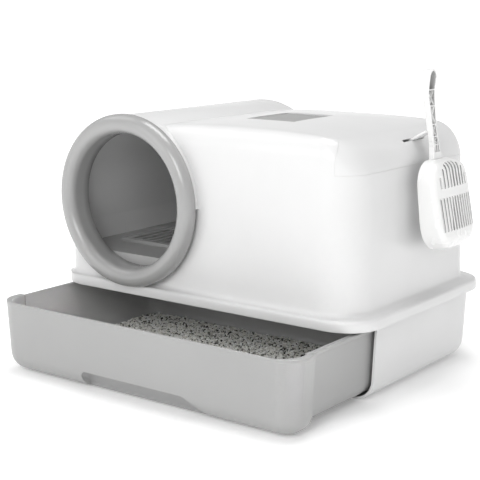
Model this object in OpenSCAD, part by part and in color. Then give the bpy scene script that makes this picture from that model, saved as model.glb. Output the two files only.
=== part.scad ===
// Drawer litter box: open-fronted base, pull-out drawer, hood with a tunnel entrance,
// flip lid with a deodorant box, and a scoop that hangs in a slot of the lid's shoulder.
// X runs to the right, Y to the back, Z up. The origin is on the floor, at the centre
// of the hood's skirt. Millimetres.

/* [Skirt and walls] */
// Width of the hood's skirt, the widest part of the box
skirt_w = 540; // [500:5:600]
// Depth of the hood's skirt
skirt_d = 372; // [350:2:420]
// Height of the skirt's lower edge above the floor
skirt_z = 109; // [104:1:120]
// Height of the skirt band
skirt_h = 15; // [13:1:20]
// Corner radius of the skirt in plan
skirt_r = 53; // [45:1:60]
// Wall of the moulded shells
wall = 3; // [2.5:0.25:3.5]
// Clearance between pieces that rest on each other but come apart
seat_gap = 0.3; // [0.2:0.05:0.5]

/* [Base] */
// How far the base stays inside the skirt at its rim
base_inset = 12; // [10:1:14]
// How much the base narrows from rim to floor, each side
base_draft = 6; // [4:0.5:8]
// Radius between the base's walls and its floor
base_bottom_r = 30; // [24:1:34]
// Radius of the base's rear corners in plan
base_corner_r = 42; // [36:1:50]
// Distance from the skirt's front to the front edge of the base's side walls
base_setback = 66; // [56:1:76]
// Depth of the front crossbar that carries the hood
crossbar_d = 6; // [4:0.5:8]
// Height of the foot pads
foot_h = 1.5; // [1:0.25:3]
// Diameter of the foot pads
foot_dia = 26; // [18:1:32]
// Height of the slide ribs on the base's floor
rib_h = 1.4; // [1:0.1:1.8]
// Width of the slide ribs
rib_w = 8; // [6:1:12]
// Distance between the two slide ribs
rib_span = 300; // [240:10:340]

/* [Drawer] */
// How far the drawer is pulled out
drawer_out = 148; // [100:1:160]
// How far the front panel stays inside the skirt, each side
panel_inset = 10; // [8:0.5:12]
// How much the front panel narrows from rim to floor, each side
panel_draft = 5.5; // [4:0.5:7]
// Depth of the part of the front panel that wraps round the sides
panel_wrap = 46; // [36:1:56]
// Gap between the closed front panel and the base's side walls
panel_gap = 3; // [2:0.5:5]
// Corner radius of the front panel in plan
panel_r = 34; // [28:1:40]
// Radius between the front panel and its lower edge
panel_bottom_r = 28; // [22:1:32]
// Clearance under the front panel
panel_lift = 2; // [1.5:0.25:4]
// Gap between the drawer's rim and the skirt's lower edge
rim_gap = 3.3; // [2.5:0.1:5]
// Gap between the drawer's rim and the base's side walls
drawer_gap = 1; // [0.8:0.1:2]
// Overhang of the drawer's rim over its walls
rim_lip = 4; // [3:0.5:6]
// Height of the rim's outer lip
rim_h = 5.5; // [4:0.5:8]
// Width of the rim's top face
rim_w = 7; // [7:0.5:10]
// Gap between the closed drawer's back and the base's rear wall
back_gap = 3; // [2:0.5:6]
// Width of the finger recess
recess_w = 200; // [140:5:240]
// Height of the finger recess above the panel's lower edge
recess_h = 25; // [18:1:30]
// Depth of the finger recess
recess_d = 17; // [12:1:22]
// Level of the litter above the floor
litter_z = 25; // [18:1:50]

/* [Hood] */
// Distance from the skirt's left side to the hood's left wall
hood_left = 11; // [9:1:16]
// Distance from the skirt's right side to the hood's right wall
hood_right = 18; // [14:1:22]
// Distance from the skirt's front to the hood's front wall
hood_front = 12; // [11:1:16]
// Distance from the skirt's rear to the hood's rear wall
hood_rear = 13; // [12:1:18]
// How much the right wall leans in up to the shoulder
hood_draft = 6; // [4:0.5:8]
// Radius of the top's crown from left to right
crown_x_r = 950; // [850:10:1100]
// Radius of the top's crown from front to back
crown_y_r = 1700; // [1500:50:2000]
// Shoulder radius along the right side
shoulder_r = 58; // [50:1:62]
// Shoulder radius along the front
front_r = 31; // [26:1:36]
// Shoulder radius along the rear
rear_r = 40; // [32:1:46]
// Vertical corner radius at the front right and rear right
corner_r = 55; // [48:1:60]
// Vertical corner radius on the left side
left_corner_r = 26; // [20:1:32]

/* [Tunnel] */
// Distance from the box's centre to the tunnel's axis
tunnel_x = 124; // [118:1:130]
// Height of the tunnel's axis above the floor
tunnel_z = 246; // [240:1:250]
// Outer radius of the tunnel's barrel
barrel_r = 123.5; // [118:0.5:126]
// Height at which the left wall bends in to meet the barrel
bend_z = 195; // [170:1:210]
// How far the barrel stands proud of the hood's top
barrel_proud = 2.5; // [1.5:0.25:4]
// Length of the half collar in front of the hood
collar_len = 8; // [5:0.5:11]

/* [Entrance ring] */
// How far the entrance ring stands out over the barrel
ring_over = 2; // [1:0.25:4]
// Radius of the ring's rounded front edge
ring_bead_r = 13.5; // [11:0.5:15]
// Distance from the ring's widest circle to the hood's front wall
ring_stand = 12; // [10:0.5:16]
// How much the ring's throat narrows towards its end
throat_taper = 1; // [0.5:0.25:6]
// How far the throat reaches past the ring's neck
throat_len = 1.5; // [1:0.5:8]
// Radial clearance of the ring's neck in the hood
neck_gap = 0.3; // [0.2:0.05:0.6]
// Thickness of the lock ring behind the hood's front wall
lock_t = 4; // [3:0.5:5]
// Radial width of the lock ring
lock_w = 11; // [8:0.5:14]

/* [Tunnel tray] */
// Height of the tray above the lowest point of the ring's throat
tray_step = 14; // [10:1:18]
// Thickness of the tray
tray_t = 3; // [2.5:0.5:4]
// Width of the ribs that carry the tray
ledge_w = 12; // [10:1:16]
// Height of the ribs that carry the tray
ledge_h = 6; // [5:1:10]
// Height of the partition above the tray
partition_h = 120; // [80:5:140]
// Length of the partition from the hood's front wall
partition_len = 190; // [150:5:210]
// Width of the sand grate
grate_w = 176; // [140:2:190]
// Length of the sand grate
grate_len = 210; // [160:2:220]
// Thickness of the sand grate
grate_t = 6; // [5:0.5:8]
// Width of the grate's slots
slot_w = 9; // [7:0.5:12]
// Distance from slot to slot in the grate
slot_pitch = 15; // [13:0.5:20]

/* [Lid] */
// Depth of the lid's seam below the hood's top
seam_drop = 57; // [52:1:64]
// Width of the seam round the lid
seam = 0.8; // [0.6:0.1:1.2]
// Distance from the hood's front wall back to the lid's front edge on top
lid_front = 30; // [28:1:40]
// Distance from the box's centre to where the lid's edge runs down at the front
lid_corner_x = 217; // [210:1:222]
// Radius of the hinge knuckles
knuckle_r = 4; // [3.5:0.25:5]
// Radius of the hinge pins
pin_r = 1.5; // [1.25:0.05:1.75]
// Running clearance of the hinge pins
pin_gap = 0.06; // [0.03:0.01:0.1]
// Length of one hinge, three knuckles
hinge_len = 42; // [36:1:50]
// Distance from the box's centre to the left hinge
hinge_left_x = 10; // [0:1:20]
// Distance from the box's centre to the right hinge
hinge_right_x = 140; // [120:1:160]

/* [Deodorant box] */
// Width of the deodorant cover
cover_w = 80; // [70:1:90]
// Length of the deodorant cover
cover_len = 101; // [90:1:110]
// Distance from the box's centre to the cover's left edge
cover_x = 17; // [12:1:22]
// Distance from the box's centre line forward to the cover's front edge
cover_y = 84; // [76:1:90]
// Thickness of the cover
cover_t = 3.4; // [3:0.2:4]
// Depth of the filter box below its rim
box_depth = 20; // [16:1:26]
// Thickness of the carbon filter
filter_t = 9; // [6:1:12]

/* [Scoop] */
// Width of the scoop's bowl
bowl_w = 102; // [92:1:112]
// Length of the scoop's bowl
bowl_len = 126; // [112:1:136]
// Depth of the scoop's bowl
bowl_d = 36; // [28:1:40]
// Radius at which the bowl's face curves from side to side
bowl_bow_r = 300; // [200:20:400]
// How much shallower the bowl is at its upper end
bowl_rake = 10; // [6:0.5:12]
// Radius of the bowl's lower corners
bowl_low_r = 44; // [34:1:46]
// Radius of the bowl's upper corners
bowl_top_r = 34; // [24:1:40]
// Wall of the scoop
scoop_wall = 2.2; // [2:0.1:2.8]
// Width of the handle at its waist
handle_w = 14; // [12:1:18]
// Width of the handle's rounded top
handle_top_w = 21; // [18:1:26]
// Depth of the handle at its waist
handle_d = 9.5; // [8:0.5:12]
// How far the handle's top curls out
handle_curl = 4; // [2:0.5:6]
// Length of the handle above the bowl
handle_len = 122; // [110:1:135]
// Depth of the slot that the scoop hangs in below the hood's top
hang_drop = 26; // [23:1:31]
// Width of the slot that the scoop hangs in
hang_w = 60; // [54:1:64]
// Lean of the hanging scoop
scoop_lean = 6; // [4:0.5:8]
// Width of the hanging tongue
tongue_w = 26; // [20:1:32]
// Thickness of the hanging tongue
tongue_t = 3; // [2.5:0.5:4]

/* [Hidden] */
$fn = 96;
eps = 0.01;

// Colours of the mouldings
white = [0.94, 0.94, 0.94];
grey = [0.66, 0.66, 0.65];
steel = [0.7, 0.7, 0.72];

// Skirt and base
skirt_half = skirt_w / 2;
skirt_back = skirt_d / 2;
plate_z = skirt_z + skirt_h - wall;
base_rim_z = plate_z - seat_gap;
base_half = skirt_half - base_inset;
base_back = skirt_back - base_inset;
base_front = base_setback - skirt_back;
base_slope = base_draft / (base_rim_z - foot_h);
base_floor_half = base_half - base_draft;
base_floor_back = base_back - base_draft;
foot_x = rib_span / 2 + 40;
foot_front = 24;
foot_rear = 46;

// Drawer
rim_z = skirt_z - rim_gap;
closed_front = base_front - panel_gap - panel_wrap;
drawer_front = closed_front - drawer_out;
drawer_half = base_half - wall - base_slope * (base_rim_z - rim_z) - drawer_gap;
drawer_back = base_back - wall - base_slope * (base_rim_z - rim_z) - back_gap - drawer_out;
body_half = drawer_half - rim_lip;
body_back = drawer_back - rim_lip;
body_bottom = foot_h + wall + rib_h + seat_gap;
panel_half = skirt_half - panel_inset;
panel_slope = panel_draft / (rim_z - panel_lift);
panel_reach = 120;
body_reach = 250;
recess_ramp = 22;
recess_r = 8;
tub_slope = base_slope;
panel_back = drawer_front + panel_wrap;
body_floor_half = body_half - tub_slope * (rim_z - body_bottom);
body_floor_back = body_back - tub_slope * (rim_z - body_bottom);
body_r = base_bottom_r - 4;

// Hood
hood_x0 = hood_left - skirt_half;
hood_x1 = skirt_half - hood_right;
hood_y0 = hood_front - skirt_back;
hood_y1 = skirt_back - hood_rear;
hood_z = tunnel_z + barrel_r - barrel_proud;
seam_z = hood_z - seam_drop;
crown_shift = 64;
crown_x = (hood_x1 + hood_x0) / 2 + crown_shift;
crown_y = -16;
shoulder_x = hood_x1 - hood_draft - shoulder_r;
shoulder_z = hood_z - crown_x_r
    + sqrt(pow(crown_x_r - shoulder_r, 2) - pow(shoulder_x - crown_x, 2));
front_y = hood_y0 + front_r;
front_z = hood_z - crown_y_r
    + sqrt(pow(crown_y_r - front_r, 2) - pow(front_y - crown_y, 2));
rear_y = hood_y1 - hood_draft - rear_r;
rear_z = hood_z - crown_y_r
    + sqrt(pow(crown_y_r - rear_r, 2) - pow(rear_y - crown_y, 2));
barrel_x = -tunnel_x;
barrel_setback = 15;
barrel_back = hood_y1 - barrel_setback;
bend_dx = barrel_x - hood_x0;
bend_dz = tunnel_z - bend_z;

// Entrance ring
ring_r = barrel_r + ring_over;
ring_y = hood_y0 - ring_stand;
ring_in_r = ring_r - 2 * ring_bead_r;
neck_r = ring_in_r + wall;
neck_len = ring_stand + wall + seat_gap + lock_t + 4;
throat_end_r = ring_in_r - throat_taper;
throat_y = ring_y + neck_len + throat_len;
hole_r = neck_r + neck_gap;

// Tray
tray_z = tunnel_z - throat_end_r + tray_step;
tray_bottom = tray_z - tray_t;
tray_x0 = hood_x0 + wall + seat_gap;
tray_x1 = barrel_x + ring_r - 5;
tray_y0 = throat_y + seat_gap;
tray_y1 = hood_y1 - wall - hood_draft - 5;
ledge_z = tray_bottom - seat_gap;
grate_x0 = (tray_x0 + tray_x1 - grate_w) / 2;
grate_y0 = tray_y0 + 64;
grate_rest = 5;
grate_gap = 0.5;
grate_frame = 9;
grate_bar = 8;
grate_sink = 1.5;
screw_r = 1.5;
screw_head_r = 3.5;
screw_head_h = 2;
screw_gap = 0.05;
screw_ys = [tray_y0 + 34, tray_y1 - 40];
partition_ys = [tray_y0 + 25, tray_y0 + partition_len / 2, tray_y0 + partition_len - 25];
flange_w = 14;
tray_lip_half = 62;
ledge_end = 6;
ledge_left = 30;
ledge_right = 10;
bracket_w = 30;
side_screw_x = hood_x0 + wall + ledge_w / 2 + 1;
rear_screw_y = tray_y1 - ledge_w / 2 - 1;
rear_screw_xs = [tray_x0 + 50, tray_x1 - 50];

// Lid
lid_y = hood_y0 + lid_front;
lid_left = 25;
lid_x0 = barrel_x + lid_left;
lid_fillet = 20;
rest_w = 7;
rest_start = 45;
rest_t = 2.4;
hinge_y = hood_y1 - hood_draft * 0.9 + knuckle_r + seat_gap;
hinge_z = seam_z + seam / 2;
knuckle_gap = 0.4;
notch_w = 8;
notch_h = 1.6;
notch_over = 4;
notch_d = 12;

// Deodorant box
cover_gap = 0.5;
pocket_x0 = cover_x - cover_gap;
pocket_x1 = cover_x + cover_w + cover_gap;
pocket_y0 = -cover_y - cover_gap;
pocket_y1 = cover_len - cover_y + cover_gap;
cover_sink = 2.2;
cover_top = hood_z - cover_sink;
cover_z = cover_top - cover_t;
box_rim_t = 1.5;
box_rim_z = cover_z - seat_gap - box_rim_t;
pocket_z = box_rim_z - seat_gap;
box_ledge = 4;
box_wall = 1.6;
cover_pin_r = 1.2;
cover_pin_x = cover_x + cover_t / 2 + 0.1;
cover_pin_z = cover_z + cover_t / 2;
cover_bead_r = 3;
cover_notch_r = 9;
cover_notch_y = 24;
cover_notch_out = 4;
box_slot_pitch = 8;
box_slot_w = 4;
box_slot_inset = 8;
pocket_wall = 3;

// Scoop
bowl_x = hood_x1 + 4.5;
bowl_y = 20;
bowl_below = 25;
hang_y = bowl_y - 5;
hang_in = 24;
hang_out = 16;
hang_z = hood_z - hang_drop;
bowl_top = hang_z - bowl_below;
pivot = [hood_x1 + 2, bowl_y, hang_z];
bowl_chamfer = 10;
handle_x = bowl_x + 4.5;
handle_foot = 10;
handle_bays = 3;
rib_t = 1.8;
gusset_w = 9;
tongue_tilt = 30;
tongue_in = 12;
slot_gap = 0.4;
shoulder_out = shoulder_x + sqrt(pow(shoulder_r, 2) - pow(hang_z - shoulder_z, 2));
slat_w = 4.2;
slat_pitch = 7.4;
slat_len = 46;
slot_reach = 16;
slot_margin = 7;
ridge_drop = 45;
ridge_half = 6;
arch_h = 36;
arch_half = 39;
arch_pitch = 8.7;
arch_side = 4;

// ---- placing helpers ----

// Extrudes an outline drawn in X and Z along Y
module along_y(y0, y1) {
    translate([0, y1, 0])
        rotate([90, 0, 0])
            linear_extrude(y1 - y0) children();
}

// Extrudes an outline drawn in Y and Z along X
module along_x(x0, x1) {
    translate([x0, 0, 0])
        rotate([90, 0, 90])
            linear_extrude(x1 - x0) children();
}

// A cylinder whose axis runs along Y
module rod_y(x, z, y0, y1, r) {
    translate([x, y1, z])
        rotate([90, 0, 0])
            cylinder(h = y1 - y0, r = r);
}

// A cylinder whose axis runs along X
module rod_x(y, z, x0, x1, r) {
    translate([x0, y, z])
        rotate([0, 90, 0])
            cylinder(h = x1 - x0, r = r);
}

module block(x0, x1, y0, y1, z0, z1) {
    translate([x0, y0, z0]) cube([x1 - x0, y1 - y0, z1 - z0]);
}

// ---- outlines ----

// Centre of the round between a floor and a wall that leans out by slope
function round_x(half, slope, r) = half + r * slope - r * sqrt(1 + slope * slope);

// One side of a tub's section: floor at z0, wall leaning out by slope, rounded below
module tub_side(half, slope, z0, z1, r) {
    c = round_x(half, slope, r);
    k = sqrt(1 + slope * slope);
    polygon([[0, z0], [c, z0], [c + r / k, z0 + r - r * slope / k],
        [half + slope * (z1 - z0), z1], [0, z1]]);
    translate([c, z0 + r]) circle(r);
}

// A rectangle with its own radius at each corner, anticlockwise from the front left
module plate4(x0, x1, y0, y1, r) {
    polygon([[x0, y0 + r[0]], [x0 + r[0], y0], [x1 - r[1], y0], [x1, y0 + r[1]],
        [x1, y1 - r[2]], [x1 - r[2], y1], [x0 + r[3], y1], [x0, y1 - r[3]]]);
    if (r[0] > 0) translate([x0 + r[0], y0 + r[0]]) circle(r[0]);
    if (r[1] > 0) translate([x1 - r[1], y0 + r[1]]) circle(r[1]);
    if (r[2] > 0) translate([x1 - r[2], y1 - r[2]]) circle(r[2]);
    if (r[3] > 0) translate([x0 + r[3], y1 - r[3]]) circle(r[3]);
}

// ---- base ----

// The base's solid form, set in by w on every side but the open front
module base_form(w) {
    top = base_rim_z + (w > 0 ? 5 : 0);
    front = base_front - (w > 0 ? 5 : 0);
    z0 = foot_h + w;
    intersection() {
        along_y(front, base_back + 10)
            union() {
                tub_side(base_floor_half - w, base_slope, z0, top, base_bottom_r - w);
                mirror([1, 0]) tub_side(base_floor_half - w, base_slope, z0, top, base_bottom_r - w);
            }
        along_x(-skirt_half, skirt_half)
            union() {
                tub_side(base_floor_back - w, base_slope, z0, top, base_bottom_r - w);
                polygon([[front, z0], [1, z0], [1, top], [front, top]]);
            }
        translate([0, 0, -5])
            linear_extrude(base_rim_z + 20)
                plate4(-base_half + w, base_half - w, front, base_back - w,
                    [0, 0, base_corner_r - w, base_corner_r - w]);
    }
}

module base_tub() {
    color(white) {
        difference() {
            base_form(0);
            base_form(wall);
        }
        // Crossbar over the drawer's opening
        block(-base_half + 1, base_half - 1, base_front, base_front + crossbar_d, skirt_z, base_rim_z);
        for (side = [-1, 1])
            block(side * rib_span / 2 - rib_w / 2, side * rib_span / 2 + rib_w / 2,
                base_front + 2, base_floor_back - base_bottom_r,
                foot_h + wall - 0.5, foot_h + wall + rib_h);
    }
}

module base_feet() {
    color([0.35, 0.35, 0.35]) {
        for (x = [-foot_x, foot_x], y = [base_front + foot_front, base_floor_back - foot_rear])
            translate([x, y, 0])
                cylinder(h = foot_h, d = foot_dia);
        // The middle foot keeps the floor from sagging under the litter
        cylinder(h = foot_h, d = foot_dia);
    }
}

// ---- drawer ----

// The front panel's form with its wrap-round sides, set in by w
module panel_form(w) {
    z0 = panel_lift + w;
    top = rim_z + (w > 0 ? 5 : 0);
    half = panel_half - panel_draft - w;
    depth = panel_wrap - (w > 0 ? w : 0);
    intersection() {
        along_y(drawer_front - 5, drawer_front + depth)
            union() {
                tub_side(half, panel_slope, z0, top, panel_bottom_r - w);
                mirror([1, 0]) tub_side(half, panel_slope, z0, top, panel_bottom_r - w);
            }
        along_x(-panel_half - 5, panel_half + 5)
            translate([drawer_front + panel_draft + w + panel_reach, 0])
                mirror([1, 0])
                    tub_side(panel_reach, panel_slope, z0, top, panel_bottom_r - w);
        translate([0, 0, -5])
            linear_extrude(rim_z + 20)
                plate4(-panel_half + w, panel_half - w, drawer_front + w, drawer_front + panel_reach,
                    [panel_r - w, panel_r - w, 0, 0]);
    }
}

// The form of the drawer's body behind the front panel, set in by w
module body_form(w, top) {
    z0 = body_bottom + w;
    intersection() {
        along_y(drawer_front + 38, body_back + 20)
            union() {
                tub_side(body_floor_half - w, tub_slope, z0, top, body_r - w);
                mirror([1, 0]) tub_side(body_floor_half - w, tub_slope, z0, top, body_r - w);
            }
        along_x(-skirt_half, skirt_half)
            translate([body_floor_back - w - body_reach, 0])
                union() {
                    tub_side(body_reach, tub_slope, z0, top, body_r - w);
                    block2(-body_reach, 1, z0, top);
                }
        translate([0, 0, -5])
            linear_extrude(rim_z + 20)
                plate4(-body_half + w, body_half - w, drawer_front + 30, body_back - w,
                    [0, 0, panel_r - w, panel_r - w]);
    }
}

// The rim's outer edge, round the front panel and the body
module rim_outline() {
    intersection() {
        plate4(-panel_half, panel_half, drawer_front, drawer_front + panel_reach, [panel_r, panel_r, 0, 0]);
        block2(-panel_half, panel_half, drawer_front, panel_back);
    }
    plate4(-drawer_half, drawer_half, drawer_front + panel_r, drawer_back,
        [0, 0, panel_r + rim_lip, panel_r + rim_lip]);
}

module block2(x0, x1, y0, y1) {
    translate([x0, y0]) square([x1 - x0, y1 - y0]);
}

module drawer_tub() {
    inner = drawer_half - rim_w;
    color(grey)
        difference() {
            union() {
                difference() {
                    union() {
                        panel_form(0);
                        body_form(0, rim_z);
                    }
                    panel_form(wall);
                    body_form(wall, rim_z + 5);
                }
                translate([0, 0, rim_z - rim_h])
                    linear_extrude(rim_h)
                        difference() {
                            rim_outline();
                            plate4(-inner, inner, drawer_front + rim_w, drawer_back - rim_w,
                                [panel_r - rim_w, panel_r - rim_w, panel_r, panel_r]);
                        }
                // Housing of the finger recess, inside the front panel
                intersection() {
                    panel_form(1);
                    recess_form(wall);
                }
            }
            recess_form(0);
        }
}

// The finger recess under the front panel, or its housing when w is a wall
module recess_form(w) {
    half = recess_w / 2 + w;
    top = panel_lift + recess_h + w;
    foot = half + recess_ramp;
    y1 = drawer_front + panel_draft + recess_d + w;
    along_y(drawer_front - 5, y1)
        union() {
            polygon([[-half, panel_lift - 5], [foot, panel_lift - 5], [foot, panel_lift + 3],
                [half - recess_ramp * 0.8, top], [-half + recess_r, top], [-half, top - recess_r]]);
        }
}

module litter_bed() {
    color([0.5, 0.5, 0.47])
        intersection() {
            union() {
                body_form(wall + seat_gap, rim_z);
                panel_form(wall + seat_gap);
            }
            difference() {
                block(-skirt_half, skirt_half, drawer_front, drawer_back, 0, litter_z);
                recess_form(wall + seat_gap);
            }
        }
}

// ---- hood ----

// The hood's section in X and Z, without the barrel, set in by w
module hood_section(w, z0) {
    x1 = hood_x1 - w;
    xs = hood_x1 - hood_draft - w;
    intersection() {
        translate([crown_x, hood_z - crown_x_r]) circle(crown_x_r - w, $fn = 360);
        block2(barrel_x, shoulder_x + 8, z0, hood_z + 10);
    }
    translate([shoulder_x, shoulder_z]) circle(shoulder_r - w);
    polygon([[shoulder_x, z0], [x1, z0], [xs, shoulder_z], [shoulder_x, shoulder_z]]);
    left_section(w, z0);
}

// The left wall, which bends in and runs on as a tangent of the barrel
module left_section(w, z0) {
    r = barrel_r - w;
    dx = bend_dx - w;
    reach = sqrt(dx * dx + bend_dz * bend_dz - r * r);
    lean = atan2(bend_dz, dx) + asin(r / sqrt(dx * dx + bend_dz * bend_dz));
    polygon([[hood_x0 + w, z0], [barrel_x + 1, z0], [barrel_x + 1, tunnel_z],
        [hood_x0 + w + reach * cos(lean), bend_z + reach * sin(lean)], [hood_x0 + w, bend_z]]);
    translate([barrel_x, tunnel_z]) circle(r);
}

// The hood's section in Y and Z, set in by w
module hood_profile(w, z0) {
    intersection() {
        translate([crown_y, hood_z - crown_y_r]) circle(crown_y_r - w, $fn = 360);
        block2(front_y - 2, rear_y + 4, z0, hood_z + 10);
    }
    translate([front_y, front_z]) circle(front_r - w);
    translate([rear_y, rear_z]) circle(rear_r - w);
    polygon([[hood_y0 + w, z0], [hood_y1 - w, z0], [hood_y1 - hood_draft - w, rear_z],
        [front_y, rear_z], [front_y, front_z], [hood_y0 + w, front_z]]);
}

module hood_plan(w) {
    plate4(hood_x0 + w, hood_x1 - w, hood_y0 + w, hood_y1 - w,
        [left_corner_r - w, corner_r - w, corner_r - w, left_corner_r - w]);
}

// The hood's main form without the barrel's upper half
module main_form(w, z0) {
    intersection() {
        along_y(hood_y0 - 5, hood_y1 + 5) hood_section(w, z0);
        along_x(hood_x0 - 5, hood_x1 + 5) hood_profile(w, z0);
        translate([0, 0, z0]) linear_extrude(hood_z) hood_plan(w);
    }
}

module barrel_form(w) {
    rod_y(barrel_x, tunnel_z, hood_y0 + w, barrel_back - w, barrel_r - w);
}

// The lid's plan, set in by g from its seam
module lid_plan(g) {
    r = lid_fillet;
    block2(lid_x0, skirt_half, lid_y + g, skirt_back);
    block2(lid_corner_x + g, skirt_half, -skirt_back, lid_y + g + 1);
    difference() {
        block2(lid_corner_x + g - r, lid_corner_x + g + 1, lid_y + g - r, lid_y + g + 1);
        translate([lid_corner_x + g - r, lid_y + g - r]) circle(r);
    }
}

// The space that the lid takes out of the hood, set in by g
module lid_zone(g) {
    difference() {
        translate([0, 0, seam_z + g]) linear_extrude(hood_z) lid_plan(g);
        rod_y(barrel_x, tunnel_z, -skirt_back - 5, skirt_back + 5, barrel_r + g);
    }
}

// One hinge: the knuckles whose turn it is, and the web that joins them to the wall
module knuckles(x, turn, y_wall, z0, z1) {
    part = hinge_len / 3;
    for (i = [0:2])
        if ((i % 2) == turn)
            difference() {
                union() {
                    rod_x(hinge_y, hinge_z, x + i * part + knuckle_gap / 2,
                        x + (i + 1) * part - knuckle_gap / 2, knuckle_r);
                    block(x + i * part + knuckle_gap / 2, x + (i + 1) * part - knuckle_gap / 2,
                        y_wall, hinge_y, z0, z1);
                }
                rod_x(hinge_y, hinge_z, x - 1, x + hinge_len + 1, pin_r + pin_gap);
            }
}

module hood_shell() {
    y_wall = hood_y1 - hood_draft - wall + 1;
    color(white)
        difference() {
            union() {
                difference() {
                    union() {
                        main_form(0, plate_z);
                        barrel_form(0);
                    }
                    main_form(wall, plate_z - 5);
                    barrel_form(wall);
                    lid_zone(0);
                }
                skirt();
                collar();
                lid_rest();
                tray_ledges();
                for (x = [hinge_left_x, hinge_right_x])
                    knuckles(x, 0, y_wall, hinge_z - knuckle_r, hinge_z - seam / 2);
            }
            rod_y(barrel_x, tunnel_z, hood_y0 - 1, hood_y0 + 9, hole_r);
            ring_relief();
            // Finger notch under the lid's front corner
            block(lid_corner_x - notch_over, lid_corner_x + notch_w - notch_over,
                hood_y0 - 5, hood_y0 + notch_d, seam_z - notch_h, seam_z + eps);
            for (x = [hinge_left_x, hinge_right_x])
                rod_x(hinge_y, hinge_z, x + hinge_len / 3 - knuckle_gap / 2,
                    x + 2 * hinge_len / 3 + knuckle_gap / 2, knuckle_r + 0.5);
        }
}

// The band round the hood's lower edge
module skirt() {
    r = skirt_r;
    difference() {
        translate([0, 0, skirt_z])
            linear_extrude(skirt_h)
                plate4(-skirt_half, skirt_half, -skirt_back, skirt_back, [r, r, r, r]);
        translate([0, 0, skirt_z - 1])
            linear_extrude(plate_z - skirt_z + 1)
                plate4(-skirt_half + wall, skirt_half - wall, -skirt_back + wall, skirt_back - wall,
                    [r - wall, r - wall, r - wall, r - wall]);
        translate([0, 0, skirt_z - 1])
            linear_extrude(skirt_h + 2)
                hood_plan(wall);
    }
}

// A shallow notch in the skirt that clears the entrance ring
module ring_relief() {
    intersection() {
        rod_y(barrel_x, tunnel_z, -skirt_back - 5, hood_y0 - collar_len, ring_r + seat_gap);
        block(barrel_x - ring_r, barrel_x + ring_r, -skirt_back - 1, hood_y0 - collar_len,
            skirt_z + wall, skirt_z + skirt_h + 5);
    }
}

// The upper half of the barrel runs on in front of the hood as a collar
module collar() {
    intersection() {
        difference() {
            rod_y(barrel_x, tunnel_z, hood_y0 - collar_len, hood_y0 + wall, barrel_r);
            rod_y(barrel_x, tunnel_z, hood_y0 - collar_len - 1, hood_y0 + wall + 1, barrel_r - wall);
        }
        block(barrel_x - barrel_r - 1, barrel_x + barrel_r + 1, hood_y0 - collar_len - 2,
            hood_y0 + wall + 2, tunnel_z, tunnel_z + barrel_r + 1);
    }
}

// A rebate inside the hood that the lid's front edge rests on
module lid_rest() {
    under = wall + seat_gap;
    intersection() {
        difference() {
            main_form(wall - 0.1, seam_z);
            main_form(under + rest_t, seam_z - 5);
        }
        difference() {
            block(lid_x0 + rest_start, lid_corner_x - lid_fillet, lid_y - 5, lid_y + rest_w, seam_z, hood_z);
            difference() {
                block(lid_x0, lid_corner_x, lid_y, lid_y + rest_w + 1, seam_z, hood_z + 5);
                main_form(under, seam_z - 5);
            }
        }
    }
}

// Ribs that carry the tunnel tray on the left and rear walls
module tray_ledges() {
    difference() {
        union() {
            block(hood_x0 + 1, hood_x0 + wall + ledge_w, tray_y0 + left_corner_r, tray_y1 - ledge_end,
                ledge_z - ledge_h, ledge_z);
            block(tray_x0 + ledge_left, tray_x1 - ledge_right, tray_y1 - ledge_w, hood_y1 - wall / 2 - 1,
                ledge_z - ledge_h, ledge_z);
            // Bracket under the tray's front corner, beside the lock ring
            block(tray_x1 - ledge_end - bracket_w, tray_x1 - ledge_end, hood_y0 + wall / 2,
                tray_y0 + ledge_w, ledge_z - ledge_h, ledge_z);
        }
        for (y = screw_ys)
            translate([side_screw_x, y, ledge_z - ledge_h - 1])
                cylinder(h = ledge_h + 2, r = screw_r + screw_gap);
        for (x = rear_screw_xs)
            translate([x, rear_screw_y, ledge_z - ledge_h - 1])
                cylinder(h = ledge_h + 2, r = screw_r + screw_gap);
    }
}

// ---- entrance ring ----

module entrance_ring() {
    bead = ring_r - ring_bead_r;
    inner = ring_bead_r - wall;
    end = throat_y - ring_y;
    color(grey)
        translate([barrel_x, ring_y, tunnel_z])
            rotate([-90, 0, 0])
                rotate_extrude() {
                    difference() {
                        translate([bead, 0]) circle(ring_bead_r);
                        translate([bead, 0]) circle(inner);
                        block2(0, ring_r + 5, 0, ring_bead_r + 5);
                    }
                    block2(ring_r - wall, ring_r, 0, ring_stand - collar_len - seat_gap);
                    polygon([[ring_in_r, 0], [neck_r, 0], [neck_r, neck_len],
                        [throat_end_r + wall, end], [throat_end_r, end], [ring_in_r, neck_len - 8]]);
                }
}

module ring_lock() {
    y0 = hood_y0 + wall + seat_gap;
    color(grey)
        difference() {
            rod_y(barrel_x, tunnel_z, y0, y0 + lock_t, hole_r + lock_w);
            rod_y(barrel_x, tunnel_z, y0 - 1, y0 + lock_t + 1, hole_r);
        }
}

// ---- tunnel tray ----

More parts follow.
